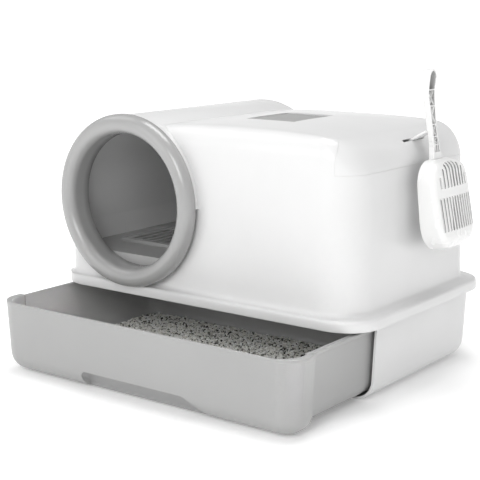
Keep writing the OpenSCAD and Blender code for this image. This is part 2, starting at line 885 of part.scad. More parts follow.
module tunnel_tray() {
    r = left_corner_r;
    color(grey) {
        // Lip that closes the step down to the ring's throat
        block(barrel_x - tray_lip_half, barrel_x + tray_lip_half, tray_y0, tray_y0 + tray_t,
            tunnel_z - neck_r, tray_bottom + eps);
        difference() {
            translate([0, 0, tray_bottom])
                linear_extrude(tray_t)
                    plate4(tray_x0, tray_x1, tray_y0, tray_y1, [r, 2, 2, r]);
            block(grate_x0, grate_x0 + grate_w, grate_y0, grate_y0 + grate_len,
                tray_z - grate_sink, tray_z + 1);
            block(grate_x0 + grate_rest, grate_x0 + grate_w - grate_rest, grate_y0 + grate_rest,
                grate_y0 + grate_len - grate_rest, tray_bottom - 1, tray_z);
            for (y = screw_ys)
                translate([side_screw_x, y, tray_bottom - 1])
                    cylinder(h = tray_t + 2, r = screw_r + screw_gap);
            for (x = rear_screw_xs)
                translate([x, rear_screw_y, tray_bottom - 1])
                    cylinder(h = tray_t + 2, r = screw_r + screw_gap);
            for (y = partition_ys)
                translate([tray_x1 - flange_w / 2, y, tray_bottom - 1])
                    cylinder(h = tray_t + 2, r = screw_r + screw_gap);
        }
    }
}

// A pan-head screw standing at the origin, head up, its head's seat at z = 0
module screw(len) {
    cylinder(h = screw_head_h, r = screw_head_r);
    translate([0, 0, -len]) cylinder(h = len + eps, r = screw_r);
}

module tray_screws() {
    color(steel) {
        for (y = screw_ys)
            translate([side_screw_x, y, tray_z])
                screw(tray_t + seat_gap + ledge_h - 1);
        for (x = rear_screw_xs)
            translate([x, rear_screw_y, tray_z])
                screw(tray_t + seat_gap + ledge_h - 1);
    }
}

module partition_wall() {
    y1 = tray_y0 + partition_len;
    top = tray_z + partition_h;
    color(grey)
        difference() {
            union() {
                block(tray_x1 - 2.5, tray_x1, tray_y0 + 2, y1, tray_z, top);
                block(tray_x1 - flange_w, tray_x1, tray_y0 + 2, y1, tray_z, tray_z + 2.5);
                // Rounded bead along the free rear edge
                translate([tray_x1 - 1.25, y1, tray_z]) cylinder(h = partition_h, r = 3);
            }
            for (y = partition_ys)
                translate([tray_x1 - flange_w / 2, y, tray_z - 1])
                    cylinder(h = 5, r = screw_r + screw_gap);
        }
}

module partition_screws() {
    color(steel)
        for (y = partition_ys)
            translate([tray_x1 - flange_w / 2, y, tray_z + 2.5])
                screw(2.5 + tray_t);
}

module sand_grate() {
    x0 = grate_x0 + grate_gap;
    x1 = grate_x0 + grate_w - grate_gap;
    y0 = grate_y0 + grate_gap;
    y1 = grate_y0 + grate_len - grate_gap;
    z0 = tray_z - grate_sink + seat_gap;
    middle = (y0 + y1) / 2;
    count = floor((grate_w - 2 * grate_frame - slot_w) / slot_pitch);
    first = (grate_x0 * 2 + grate_w - count * slot_pitch) / 2;
    color(grey)
        difference() {
            block(x0, x1, y0, y1, z0, z0 + grate_t);
            for (i = [0:count], half = [0, 1])
                block(first + i * slot_pitch - slot_w / 2, first + i * slot_pitch + slot_w / 2,
                    half == 0 ? y0 + grate_frame : middle + grate_bar / 2,
                    half == 0 ? middle - grate_bar / 2 : y1 - grate_frame, z0 - 1, z0 + grate_t + 1);
        }
}

// ---- lid ----

module flip_lid() {
    y_wall = hood_y1 - hood_draft - wall + 1;
    color(white)
        difference() {
            union() {
                difference() {
                    intersection() {
                        main_form(0, plate_z);
                        lid_zone(seam);
                    }
                    main_form(wall, plate_z - 5);
                }
                intersection() {
                    main_form(0, plate_z);
                    block(pocket_x0 - pocket_wall, pocket_x1 + pocket_wall, pocket_y0 - pocket_wall,
                        pocket_y1 + pocket_wall, pocket_z - 2, hood_z + 5);
                }
                for (x = [hinge_left_x, hinge_right_x])
                    knuckles(x, 1, y_wall, hinge_z + seam / 2, hinge_z + knuckle_r);
            }
            block(pocket_x0, pocket_x1, pocket_y0, pocket_y1, pocket_z, hood_z + 10);
            block(pocket_x0 + box_ledge, pocket_x1 - box_ledge, pocket_y0 + box_ledge,
                pocket_y1 - box_ledge, pocket_z - 5, hood_z);
            rod_y(cover_pin_x, cover_pin_z, pocket_y0 - pocket_wall + 1, pocket_y1 + pocket_wall - 1,
                cover_pin_r + pin_gap);
            hang_slot();
            for (x = [hinge_left_x, hinge_right_x], i = [0, 2])
                rod_x(hinge_y, hinge_z, x + i * hinge_len / 3 - knuckle_gap / 2,
                    x + (i + 1) * hinge_len / 3 + knuckle_gap / 2, knuckle_r + 0.5);
        }
}

// The slot in the right shoulder that takes the scoop's tongue
module hang_slot() {
    translate([shoulder_out, hang_y, hang_z])
        rotate([0, -tongue_tilt, 0])
            translate([-hang_in, -hang_w / 2, -tongue_t / 2 - slot_gap])
                cube([hang_in + hang_out, hang_w, tongue_t + 2 * slot_gap]);
}

module lid_pin(x) {
    color(steel)
        rod_x(hinge_y, hinge_z, x + 0.5, x + hinge_len - 0.5, pin_r);
}

module lid_pin_left() {
    lid_pin(hinge_left_x);
}

module lid_pin_right() {
    lid_pin(hinge_right_x);
}

// ---- deodorant box ----

module filter_box() {
    x0 = pocket_x0 + box_ledge + seat_gap;
    x1 = pocket_x1 - box_ledge - seat_gap;
    y0 = pocket_y0 + box_ledge + seat_gap;
    y1 = pocket_y1 - box_ledge - seat_gap;
    z0 = box_rim_z - box_depth;
    count = floor((x1 - x0 - 2 * box_slot_inset) / box_slot_pitch);
    color(grey)
        difference() {
            union() {
                block(x0, x1, y0, y1, z0, box_rim_z + box_rim_t);
                block(pocket_x0 + seat_gap, pocket_x1 - seat_gap, pocket_y0 + seat_gap,
                    pocket_y1 - seat_gap, box_rim_z, box_rim_z + box_rim_t);
            }
            block(x0 + box_wall, x1 - box_wall, y0 + box_wall, y1 - box_wall,
                z0 + box_wall, box_rim_z + box_rim_t + 1);
            for (i = [0:count])
                block(x0 + box_slot_inset + i * box_slot_pitch - box_slot_w / 2,
                    x0 + box_slot_inset + i * box_slot_pitch + box_slot_w / 2,
                    y0 + box_slot_inset, y1 - box_slot_inset, z0 - 1, z0 + box_wall + 1);
            // Room for the cover's hinge bead
            rod_y(cover_pin_x, cover_pin_z, pocket_y0, pocket_y1, cover_bead_r + 0.3);
        }
}

module carbon_filter() {
    inset = box_ledge + 2 * seat_gap + box_wall;
    z0 = box_rim_z - box_depth + box_wall + seat_gap;
    color([0.12, 0.12, 0.12])
        block(pocket_x0 + inset, pocket_x1 - inset, pocket_y0 + inset, pocket_y1 - inset, z0, z0 + filter_t);
}

module filter_cover() {
    y0 = -cover_y;
    y1 = cover_len - cover_y;
    color(grey)
        difference() {
            union() {
                block(cover_pin_x, cover_x + cover_w, y0, y1, cover_z, cover_top);
                rod_y(cover_pin_x, cover_pin_z, y0 + 0.5, y1 - 0.5, cover_t / 2);
            }
            rod_y(cover_pin_x, cover_pin_z, y0 - 1, y1 + 1, cover_pin_r + pin_gap);
            // Finger notch on the free edge
            translate([cover_x + cover_w + cover_notch_out, y1 - cover_notch_y, cover_z - 1])
                cylinder(h = cover_t + 2, r = cover_notch_r);
        }
}

module cover_pin() {
    color(steel)
        rod_y(cover_pin_x, cover_pin_z, pocket_y0 - pocket_wall + 1.5, pocket_y1 + pocket_wall - 1.5,
            cover_pin_r);
}

// ---- scoop ----

// The bowl's outline in Y and Z, set in by w
module bowl_outline(w) {
    plate4(bowl_y - bowl_w / 2 + w, bowl_y + bowl_w / 2 - w, bowl_top - bowl_len + w, bowl_top - w,
        [bowl_low_r - w, bowl_low_r - w, bowl_top_r - w, bowl_top_r - w]);
}

module bowl_form(w) {
    x0 = w > 0 ? bowl_x - 5 : bowl_x;
    x1 = bowl_x + bowl_d - w;
    z0 = bowl_top - bowl_len + w;
    z1 = bowl_top - w;
    intersection() {
        along_x(x0, x1) bowl_outline(w);
        along_y(bowl_y - bowl_w, bowl_y + bowl_w)
            polygon([[x0 - 1, z0], [bowl_x, z0], [x1, z0 + bowl_chamfer + 4],
                [x1 - bowl_rake, z1 - bowl_chamfer], [bowl_x, z1], [x0 - 1, z1]]);
        // The face curves from side to side
        translate([bowl_x + bowl_d - bowl_bow_r, bowl_y, z0 - 1])
            cylinder(h = z1 - z0 + 2, r = bowl_bow_r - w, $fn = 180);
    }
}

// Length of the slots in the arched upper row at a distance t from its middle
function arch(t) = arch_h * sqrt(max(0, 1 - pow(t / arch_half, 2)));

// Two rows of slots in the bowl's face, above and below a plain band
module bowl_slots() {
    x0 = bowl_x + bowl_d - slot_reach;
    x1 = bowl_x + bowl_d + 1;
    ridge = bowl_top - ridge_drop;
    count = floor((bowl_w - 2 * slot_margin) / slat_pitch);
    for (i = [0:count]) {
        t = (i - count / 2) * slat_pitch;
        block(x0, x1, bowl_y + t - slat_w / 2, bowl_y + t + slat_w / 2,
            ridge - ridge_half - slat_len, ridge - ridge_half);
    }
    for (i = [-arch_side:arch_side]) {
        t = i * arch_pitch;
        block(x0, x1, bowl_y + t - slat_w / 2, bowl_y + t + slat_w / 2,
            ridge + ridge_half, ridge + ridge_half + arch(t));
    }
}

// The handle's outline in Y and Z, set in by g: a straight waist that widens to a round top
module handle_outline(g, z0) {
    z1 = bowl_top + handle_len;
    r = handle_top_w / 2;
    waist = handle_w / 2 - g;
    polygon([[bowl_y - waist, z0], [bowl_y + waist, z0], [bowl_y + waist, (z0 + z1) / 2],
        [bowl_y + r - g, z1 - r], [bowl_y - r + g, z1 - r], [bowl_y - waist, (z0 + z1) / 2]]);
    translate([bowl_y, z1 - r]) circle(r - g);
}

// The handle: a channel open to the outside, its lower part stiffened by crossed ribs
module handle() {
    z0 = bowl_top - 6;
    z1 = bowl_top + handle_len;
    x0 = handle_x - handle_d;
    top = z1 - handle_top_w;
    bay = (top - z0 - handle_foot) / handle_bays;
    cross = atan2(handle_w - 2 * scoop_wall, bay);
    intersection() {
        along_x(x0 - handle_curl, handle_x + handle_curl) handle_outline(0, z0);
        along_y(bowl_y - bowl_w / 2, bowl_y + bowl_w / 2)
            polygon([[x0, z0], [handle_x, z0], [handle_x, top], [handle_x + handle_curl, z1],
                [x0 - handle_curl / 2, z1], [x0, top]]);
        difference() {
            block(x0 - handle_curl, handle_x + handle_curl, bowl_y - bowl_w, bowl_y + bowl_w, z0, z1);
            along_x(x0 + scoop_wall, handle_x + handle_curl + 1) handle_outline(scoop_wall, z0 + handle_foot);
        }
    }
    for (i = [0:handle_bays - 1], s = [-1, 1])
        translate([0, bowl_y, z0 + handle_foot + (i + 0.5) * bay])
            rotate([s * cross, 0, 0])
                block(x0 + 1, handle_x - 1, -rib_t / 2, rib_t / 2, -bay / 2, bay / 2);
    // Gussets that spread the handle into the bowl
    for (s = [-1, 1])
        along_x(handle_x - handle_d + 1, handle_x - 1)
            polygon([[bowl_y + s * (handle_w / 2 - 1), z0 + 2],
                [bowl_y + s * (handle_w / 2 + gusset_w), z0 + 2],
                [bowl_y + s * (handle_w / 2 - 1), z0 + 2 * gusset_w]]);
}

module tongue() {
    reach = (handle_x - handle_d + 1 - shoulder_out) / cos(tongue_tilt);
    translate([shoulder_out, bowl_y, hang_z])
        rotate([0, -tongue_tilt, 0])
            translate([-tongue_in, -tongue_w / 2, -tongue_t / 2])
                cube([tongue_in + reach, tongue_w, tongue_t]);
}

module scoop() {
    color(white) {
        translate(pivot)
            rotate([0, -scoop_lean, 0])
                translate(-pivot) {
                    difference() {
                        bowl_form(0);
                        bowl_form(scoop_wall);
                        bowl_slots();
                    }
                    handle();
                }
        tongue();
    }
}

base_tub();
base_feet();
drawer_tub();
litter_bed();
hood_shell();
entrance_ring();
ring_lock();
tunnel_tray();
tray_screws();
partition_wall();
partition_screws();
sand_grate();
flip_lid();
lid_pin_left();
lid_pin_right();
filter_box();
carbon_filter();
filter_cover();
cover_pin();
scoop();
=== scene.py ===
"""Drawer litter box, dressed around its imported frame: the moulded shells, the entrance ring,
the loose litter and the scoop. Sizes are in millimetres and become metres as a mesh is made."""

import math
import random

import bpy
from mathutils import Matrix, Vector, noise


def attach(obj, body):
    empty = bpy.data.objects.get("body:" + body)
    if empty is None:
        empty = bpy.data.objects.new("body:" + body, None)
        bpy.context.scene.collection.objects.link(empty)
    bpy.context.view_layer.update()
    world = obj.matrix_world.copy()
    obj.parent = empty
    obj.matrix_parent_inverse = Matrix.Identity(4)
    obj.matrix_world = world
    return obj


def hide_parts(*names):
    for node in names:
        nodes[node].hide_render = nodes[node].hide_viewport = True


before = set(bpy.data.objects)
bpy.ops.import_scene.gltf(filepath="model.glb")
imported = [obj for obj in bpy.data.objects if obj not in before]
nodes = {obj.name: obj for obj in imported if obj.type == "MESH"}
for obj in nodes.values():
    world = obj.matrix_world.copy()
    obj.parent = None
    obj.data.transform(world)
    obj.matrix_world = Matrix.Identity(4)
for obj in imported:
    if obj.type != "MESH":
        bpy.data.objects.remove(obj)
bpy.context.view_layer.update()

MM = 0.001

# ---- sizes of the box, in millimetres, as in the construction ----

SKIRT_X = 270.0
SKIRT_Y = 186.0
SKIRT_Z = 109.0
PLATE_Z = 121.0
SKIRT_TOP = 124.0
SKIRT_R = 53.0
WALL = 3.0

HOOD_LEFT = -259.0
HOOD_RIGHT = 252.0
HOOD_FRONT = -174.0
HOOD_REAR = 173.0
HOOD_DRAFT = 6.0
HOOD_TOP = 367.0
CROWN_X = 60.5
CROWN_Y = -16.0
CROWN_X_R = 950.0
CROWN_Y_R = 1700.0
SHOULDER_R = 58.0
FRONT_R = 31.0
REAR_R = 40.0
CORNER_R = 55.0
LEFT_CORNER_R = 26.0

BARREL_X = -124.0
BARREL_Z = 246.0
BARREL_R = 123.5
BARREL_BACK = 158.0
BEND_Z = 195.0
COLLAR_FRONT = -182.0
BARREL_SIDES = 160
PORT_R = 101.8

LID_FRONT = -144.0
LID_CORNER_X = 217.0
LID_LEFT = -99.0
LID_FILLET = 20.0
SEAM_Z = 310.0
SEAM = 0.2
HINGE_Y = 171.9
HINGE_Z = 310.4
HINGES_X = (10.0, 140.0)
KNUCKLE = 14.0
KNUCKLE_R = 4.0
WEB_FRONT = 165.0
LEDGE_Z = (153.2, 159.2)

BEYOND = 20.0  # how far a cutter runs on past what it cuts
MERGE = 1e-6
SMOOTH_ANGLE = 32
PAINTED_TONE_MARK = "inside"  # face mark of painted shade and painted light on the pieces' insides
TONE = "tone"  # point tone of the litter's granules


# ---- modelling helpers ----


def deselect():
    """Nothing selected and no active object, so that the next operator acts on its own piece."""
    for one in bpy.context.selected_objects:
        one.select_set(False)
    bpy.context.view_layer.objects.active = None


def pick(obj):
    """obj alone selected and active."""
    deselect()
    obj.select_set(True)
    bpy.context.view_layer.objects.active = obj


def link(obj):
    bpy.context.scene.collection.objects.link(obj)
    return obj


def place(obj):
    """Puts an object's place, turn and scale into its mesh."""
    pick(obj)
    bpy.ops.object.transform_apply(location=True, rotation=True, scale=True)
    return obj


def tidy(obj, recalc=True):
    """Merges doubles and turns the faces outwards."""
    pick(obj)
    bpy.ops.object.mode_set(mode="EDIT")
    bpy.ops.mesh.select_all(action="SELECT")
    bpy.ops.mesh.remove_doubles(threshold=MERGE)
    if recalc:
        bpy.ops.mesh.normals_make_consistent(inside=False)
    bpy.ops.object.mode_set(mode="OBJECT")


def loft(name, rows, closed=False):
    """A skin through rows of points, in millimetres. Each row runs once round the form, all rows have as
    many points, and a row whose points coincide closes the form. An end row that is open gets a flat face,
    unless the rows close on themselves."""
    deselect()
    across = len(rows[0])
    bpy.ops.mesh.primitive_grid_add(x_subdivisions=across, y_subdivisions=len(rows) - 1, size=1)
    obj = bpy.context.object
    obj.name = name
    for j, row in enumerate(rows):
        for i in range(across + 1):
            obj.data.vertices[j * (across + 1) + i].co = Vector(row[i % across]) * MM
    tidy(obj, recalc=False)
    if not closed:
        bpy.ops.object.mode_set(mode="EDIT")
        bpy.ops.mesh.select_all(action="DESELECT")
        bpy.ops.mesh.select_mode(type="EDGE")
        bpy.ops.mesh.select_non_manifold(extend=False, use_wire=False, use_multi_face=False,
                                         use_non_contiguous=False, use_verts=False)
        bpy.ops.mesh.edge_face_add()
        bpy.ops.mesh.select_mode(type="VERT")
        bpy.ops.object.mode_set(mode="OBJECT")
    tidy(obj)
    return obj


def combine(target, tool, how):
    """Joins, cuts or keeps the common space of two solids, and uses the tool up."""
    pick(target)
    modifier = target.modifiers.new("combine", "BOOLEAN")
    modifier.operation = how
    modifier.solver = "EXACT"
    modifier.object = tool
    bpy.ops.object.modifier_apply(modifier=modifier.name)
    bpy.data.objects.remove(tool)
    return target


def join(pieces, name):
    """Several meshes as one object."""
    deselect()
    for piece in pieces:
        piece.select_set(True)
    bpy.context.view_layer.objects.active = pieces[0]
    bpy.ops.object.join()
    pieces[0].name = name
    return pieces[0]


def block(name, x, y, z, rounding=0.0, segments=3):
    """A block between two corners, its edges rounded."""
    deselect()
    bpy.ops.mesh.primitive_cube_add(size=1)
    obj = bpy.context.object
    obj.name = name
    obj.location = [(a + b) / 2 * MM for a, b in (x, y, z)]
    obj.scale = [(b - a) * MM for a, b in (x, y, z)]
    place(obj)
    if rounding > 0:
        bevel(obj, rounding, segments)
    return obj


def bevel(obj, width, segments=3, angle=30):
    """Rounds an object's sharp edges."""
    modifier = obj.modifiers.new("rounding", "BEVEL")
    modifier.width = width * MM
    modifier.segments = segments
    modifier.limit_method = "ANGLE"
    modifier.angle_limit = math.radians(angle)
    pick(obj)
    bpy.ops.object.modifier_apply(modifier=modifier.name)
    return obj


def rod(name, start, end, radius, sides=48, rounding=0.0):
    """A round bar between two points."""
    deselect()
    a, b = Vector(start), Vector(end)
    bpy.ops.mesh.primitive_cylinder_add(vertices=sides, radius=radius * MM, depth=(b - a).length * MM)
    obj = bpy.context.object
    obj.name = name
    obj.rotation_mode = "QUATERNION"
    obj.rotation_quaternion = (b - a).to_track_quat("Z", "Y")
    obj.location = (a + b) / 2 * MM
    place(obj)
    if rounding > 0:
        bevel(obj, rounding, 3, 40)
    return obj


def turned(name, centre, profile, sides=128):
    """A body of revolution about an axis along Y. The profile's points are (radius, distance back)."""
    rows = []
    for radius, back in profile:
        row = []
        for i in range(sides):
            a = 2 * math.pi * i / sides
            row.append((centre[0] + radius * math.cos(a), centre[1] + back, centre[2] + radius * math.sin(a)))
        rows.append(row)
    rows.append(rows[0])
    return loft(name, rows, closed=True)


def smooth(obj, angle=SMOOTH_ANGLE):
    pick(obj)
    bpy.ops.object.shade_smooth_by_angle(angle=math.radians(angle))


def mark_painted_tone(obj, mark_of):
    """Keeps a share for each face, which the materials read as how much of their painted tone the face gets:
    painted shade on the scoop, painted light on the drawer.
    """
    marks = [mark_of(face.center / MM, face.normal) for face in obj.data.polygons]
    obj.data.attributes.new(PAINTED_TONE_MARK, "FLOAT", "FACE").data.foreach_set("value", marks)


def finish(obj, body, material, slot, *replaced):
    """Gives a piece its material, its body and the construction pieces that it stands for."""
    obj.data.materials.clear()
    obj.data.materials.append(material)
    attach(obj, body)
    if replaced:
        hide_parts(*replaced)
    return obj


# ---- outlines ----

ARC = 26  # steps round a corner
SIDE = 12  # steps along a side


def outline(x0, x1, y0, y1, corners, z):
    """Points round a rectangle whose corners are quarter ellipses, anticlockwise from the front left.
    corners holds (half width, half depth) for front left, front right, rear right and rear left.
    z is one height, or the heights of the left, right, front and rear sides."""
    if not isinstance(z, tuple):
        z = (z, z, z, z)
    left, right, front, rear = z
    spots = [
        (x0, y0, corners[0], 180, left, front),
        (x1, y0, corners[1], 270, front, right),
        (x1, y1, corners[2], 0, right, rear),
        (x0, y1, corners[3], 90, rear, left),
    ]
    arcs = []
    for x, y, (a, b), start, z_from, z_to in spots:
        cx = x + a if x == x0 else x - a
        cy = y + b if y == y0 else y - b
        arc = []
        for k in range(ARC + 1):
            turn = math.radians(start + 90 * k / ARC)
            share = (1 - math.cos(math.pi * k / ARC)) / 2
            z_at = z_from + (z_to - z_from) * share
            arc.append(Vector((cx + a * math.cos(turn), cy + b * math.sin(turn), z_at)))
        arcs.append(arc)
    points = []
    for n, arc in enumerate(arcs):
        points += arc
        start, end = arc[-1], arcs[(n + 1) % 4][0]
        points += [start.lerp(end, k / SIDE) for k in range(1, SIDE)]
    return points


# ---- the hood's form ----


def crown(x, y, w=0.0):
    """Height of the hood's crowned top."""
    fall_x = CROWN_X_R - math.sqrt(CROWN_X_R ** 2 - (x - CROWN_X) ** 2)
    fall_y = CROWN_Y_R - math.sqrt(CROWN_Y_R ** 2 - (y - CROWN_Y) ** 2)
    return HOOD_TOP - w - math.hypot(fall_x, fall_y)


def shoulder(limit, radius, crown_mid, crown_r, sign):
    """Centre of a shoulder and the angle at which it meets the crown, in a section across one wall."""
    mid = limit - sign * radius
    run = mid - crown_mid
    height = HOOD_TOP - crown_r + math.sqrt((crown_r - radius) ** 2 - run ** 2)
    tilt = math.atan2(abs(run), math.sqrt((crown_r - radius) ** 2 - run ** 2))
    return mid, height, math.pi / 2 - tilt


RIGHT = shoulder(HOOD_RIGHT - HOOD_DRAFT, SHOULDER_R, CROWN_X, CROWN_X_R, 1)
FRONT = shoulder(HOOD_FRONT, FRONT_R, CROWN_Y, CROWN_Y_R, -1)
REAR = shoulder(HOOD_REAR - HOOD_DRAFT, REAR_R, CROWN_Y, CROWN_Y_R, 1)

# The left wall leans in from the bend and touches the barrel here
BEND_RUN = math.hypot(BARREL_X - HOOD_LEFT, BARREL_Z - BEND_Z)
BEND_REACH = math.sqrt(BEND_RUN ** 2 - BARREL_R ** 2)
BEND_LEAN = math.atan2(BARREL_Z - BEND_Z, BARREL_X - HOOD_LEFT) + math.asin(BARREL_R / BEND_RUN)
TOUCH_X = HOOD_LEFT + BEND_REACH * math.cos(BEND_LEAN)
TOUCH_Z = BEND_Z + BEND_REACH * math.sin(BEND_LEAN)


def lean(z, top):
    """How far a drafted wall has leaned in at a height."""
    return HOOD_DRAFT * max(0.0, z - PLATE_Z) / (top - PLATE_Z)


def left_wall(z):
    if z <= BEND_Z:
        return HOOD_LEFT
    return HOOD_LEFT + (z - BEND_Z) / math.tan(BEND_LEAN)


def hood_ring(x0, x1, y0, y1, z, out=0.0):
    """A row round the hood where its sides stand at these places, with the hood's corner ellipses."""
    right_mid = RIGHT[0] + 2
    front_mid = HOOD_FRONT + CORNER_R
    rear_mid = HOOD_REAR - CORNER_R
    left_front = HOOD_FRONT + LEFT_CORNER_R + 8
    left_rear = HOOD_REAR - LEFT_CORNER_R - 22
    a = LEFT_CORNER_R + out
    corners = [(a, left_front - y0), (x1 - right_mid, front_mid - y0), (x1 - right_mid, y1 - rear_mid),
               (a, y1 - left_rear)]
    return outline(x0, x1, y0, y1, corners, z)


def hood_wall(z, w, out=0.0):
    """One row of the hood's upright walls, set in by w or out by out."""
    x0 = left_wall(z) + w - out
    x1 = HOOD_RIGHT - lean(z, RIGHT[1]) - w + out
    y0 = HOOD_FRONT + w - out
    y1 = HOOD_REAR - lean(z, REAR[1]) - w + out
    return hood_ring(x0, x1, y0, y1, z, out)


SKIRT_EDGE = ((0.9, SKIRT_Z), (0.2, SKIRT_Z + 0.5), (0, SKIRT_Z + 1.4), (0, SKIRT_TOP - 4.5),
              (0.5, SKIRT_TOP - 2.2), (1.8, SKIRT_TOP - 0.7), (3.6, SKIRT_TOP))
SKIRT_FILLET = 7.0
SHOULDER_STEPS = 14
CLIMB_STEPS = 5
CROWN_RINGS = 10
CLIMB_SHARE = 0.4


def hood_rows(w):
    """Rows of the hood's skin from the skirt's lower edge to the middle of the crown, set in by w."""
    rows = []

    def skirt(inset, z):
        r = SKIRT_R - inset
        rows.append(outline(-SKIRT_X + inset, SKIRT_X - inset, -SKIRT_Y + inset, SKIRT_Y - inset,
                            [(r, r)] * 4, z))

    if w == 0:
        for inset, z in SKIRT_EDGE:
            skirt(inset, z)
        for k in range(6):
            turn = math.radians(90 * k / 5)
            rows.append(hood_wall(SKIRT_TOP + SKIRT_FILLET * (1 - math.cos(turn)), 0,
                                  SKIRT_FILLET * (1 - math.sin(turn))))
    else:
        skirt(w, SKIRT_Z - 4)
        skirt(w, PLATE_Z)
        rows.append(hood_wall(PLATE_Z, w))
    low = SKIRT_TOP + SKIRT_FILLET + 1
    heights = [low + (BEND_Z - low) * k / 4 for k in range(1, 5)]
    heights += [BEND_Z + 2] + [BEND_Z + (TOUCH_Z - BEND_Z) * k / 5 for k in range(1, 6)]
    rows += [hood_wall(z, w) for z in heights]

    def left_side(share):
        """The hidden left shoulder runs inside the barrel up to the crown."""
        end_x, end_z = BARREL_X - 20, crown(BARREL_X - 20, 0)
        bow = 4 * share * (1 - share) * 8
        return (TOUCH_X + w + (end_x - TOUCH_X) * share,
                TOUCH_Z + (end_z - w - TOUCH_Z) * share + bow)

    for k in range(1, CLIMB_STEPS + 1):
        share = k / CLIMB_STEPS
        z_right, z_front, z_rear = (TOUCH_Z + (side[1] - TOUCH_Z) * share for side in (RIGHT, FRONT, REAR))
        x0, z_left = left_side(share * CLIMB_SHARE)
        x1 = HOOD_RIGHT - lean(z_right, RIGHT[1]) - w
        y1 = HOOD_REAR - lean(z_rear, REAR[1]) - w
        y0 = HOOD_FRONT + w
        rows.append(hood_ring(x0, x1, y0, y1, (z_left, z_right, z_front, z_rear)))
    for k in range(1, SHOULDER_STEPS + 1):
        share = k / SHOULDER_STEPS
        x0, z_left = left_side(CLIMB_SHARE + (1 - CLIMB_SHARE) * share)
        x1 = RIGHT[0] + (SHOULDER_R - w) * math.cos(RIGHT[2] * share)
        z_right = RIGHT[1] + (SHOULDER_R - w) * math.sin(RIGHT[2] * share)
        y0 = FRONT[0] - (FRONT_R - w) * math.cos(FRONT[2] * share)
        z_front = FRONT[1] + (FRONT_R - w) * math.sin(FRONT[2] * share)
        y1 = REAR[0] + (REAR_R - w) * math.cos(REAR[2] * share)
        z_rear = REAR[1] + (REAR_R - w) * math.sin(REAR[2] * share)
        row = hood_ring(x0, x1, y0, y1, (z_left, z_right, z_front, z_rear))
        # Towards the top each row settles onto the crowned surface
        settle = share ** 3
        rows.append([(p[0], p[1], p[2] + (crown(p[0], p[1], w) - p[2]) * settle) for p in row])
    edge = rows[-1]
    for k in range(1, CROWN_RINGS + 1):
        share = 1 - k / CROWN_RINGS
        spots = [(CROWN_X + (p[0] - CROWN_X) * share, CROWN_Y + (p[1] - CROWN_Y) * share) for p in edge]
        rows.append([(x, y, crown(x, y, w)) for x, y in spots])
    return rows


def hood_solid(w):
    """The hood's form with the tunnel's barrel, set in by w."""
    form = loft("hood_form", hood_rows(w))
    drum = rod("barrel", (BARREL_X, HOOD_FRONT + w, BARREL_Z), (BARREL_X, BARREL_BACK - w, BARREL_Z),
               BARREL_R - w, BARREL_SIDES, 0 if w else 2.5)
    return combine(form, drum, "UNION")


def lid_space(g):
    """The space that the lid takes out of the hood, set in by g from the seam."""
    top = HOOD_TOP + 30
    z = (SEAM_Z + g, top)
    x_mid, y_mid = LID_CORNER_X + g - LID_FILLET, LID_FRONT + g - LID_FILLET
    far_x, far_y = SKIRT_X + BEYOND, SKIRT_Y + BEYOND
    space = block("lid_space", (LID_LEFT, far_x), (LID_FRONT + g, far_y), z)
    corner = block("corner", (x_mid, far_x), (-far_y, LID_FRONT + g + 1), z)
    cutter = block("cutter", (x_mid - 1, LID_CORNER_X + g), (-far_y - 10, y_mid), (SEAM_Z - 5, top + 5))
    combine(corner, cutter, "DIFFERENCE")
    rounding = rod("round", (x_mid, y_mid, SEAM_Z - 5), (x_mid, y_mid, top + 5), LID_FILLET, 64)
    combine(corner, rounding, "DIFFERENCE")
    combine(space, corner, "UNION")
    side = rod("side", (BARREL_X, -far_y - 10, BARREL_Z), (BARREL_X, far_y + 10, BARREL_Z),
               BARREL_R + g, BARREL_SIDES)
    return combine(space, side, "DIFFERENCE")


def hood_shell():
    shell = hood_solid(0)
    combine(shell, hood_solid(WALL), "DIFFERENCE")
    combine(shell, lid_space(0), "DIFFERENCE")
    port = rod("port", (BARREL_X, HOOD_FRONT - 12, BARREL_Z), (BARREL_X, HOOD_FRONT + 8, BARREL_Z),
               PORT_R, 128)
    combine(shell, port, "DIFFERENCE")
    notch = block("notch", (LID_CORNER_X - 3, LID_CORNER_X + 5), (HOOD_FRONT - 5, HOOD_FRONT + 5.6),
                  (SEAM_Z - 1.6, SEAM_Z + 1), 0.4)
    combine(shell, notch, "DIFFERENCE")
    return shell


def collar():
    """The upper half of the barrel runs on in front of the hood."""
    inner, edge, length = BARREL_R - WALL, 0.8, 9
    ring = turned("collar", (BARREL_X, COLLAR_FRONT, BARREL_Z),
                  [(inner, edge), (inner + edge, 0), (BARREL_R - edge, 0), (BARREL_R, edge),
                   (BARREL_R, length), (inner, length)])
    reach = 140
    lower = block("lower", (BARREL_X - reach, BARREL_X + reach), (COLLAR_FRONT - 5, HOOD_FRONT + 10),
                  (BARREL_Z - reach, BARREL_Z))
    return combine(ring, lower, "DIFFERENCE")


def hinge_knuckles(turn, side):
    """The knuckles of both hinges that belong to the hood or to the lid, on webs that stand below the
    pins, side -1, or above them, side 1."""
    web_z = sorted((HINGE_Z + side * 0.4, HINGE_Z + side * KNUCKLE_R))
    pieces = []
    for x in HINGES_X:
        for i in range(3):
            if i % 2 != turn:
                continue
            x0, x1 = x + i * KNUCKLE + 0.2, x + (i + 1) * KNUCKLE - 0.2
            pieces.append(rod("knuckle", (x0, HINGE_Y, HINGE_Z), (x1, HINGE_Y, HINGE_Z), KNUCKLE_R, 32, 0.4))
            pieces.append(block("web", (x0, x1), (WEB_FRONT, HINGE_Y), web_z, 0.4, 2))
    return pieces


def tray_ledges():
    """Ribs inside the hood that carry the tunnel tray."""
    return [
        block("left_rib", (-258, -244), (-135, 153), LEDGE_Z, 0.6, 2),
        block("rear_rib", (-225, -13.5), (147, 170.5), LEDGE_Z, 0.6, 2),
        block("front_bracket", (-39.5, -9.5), (-172.5, -149), LEDGE_Z, 0.6, 2),
    ]


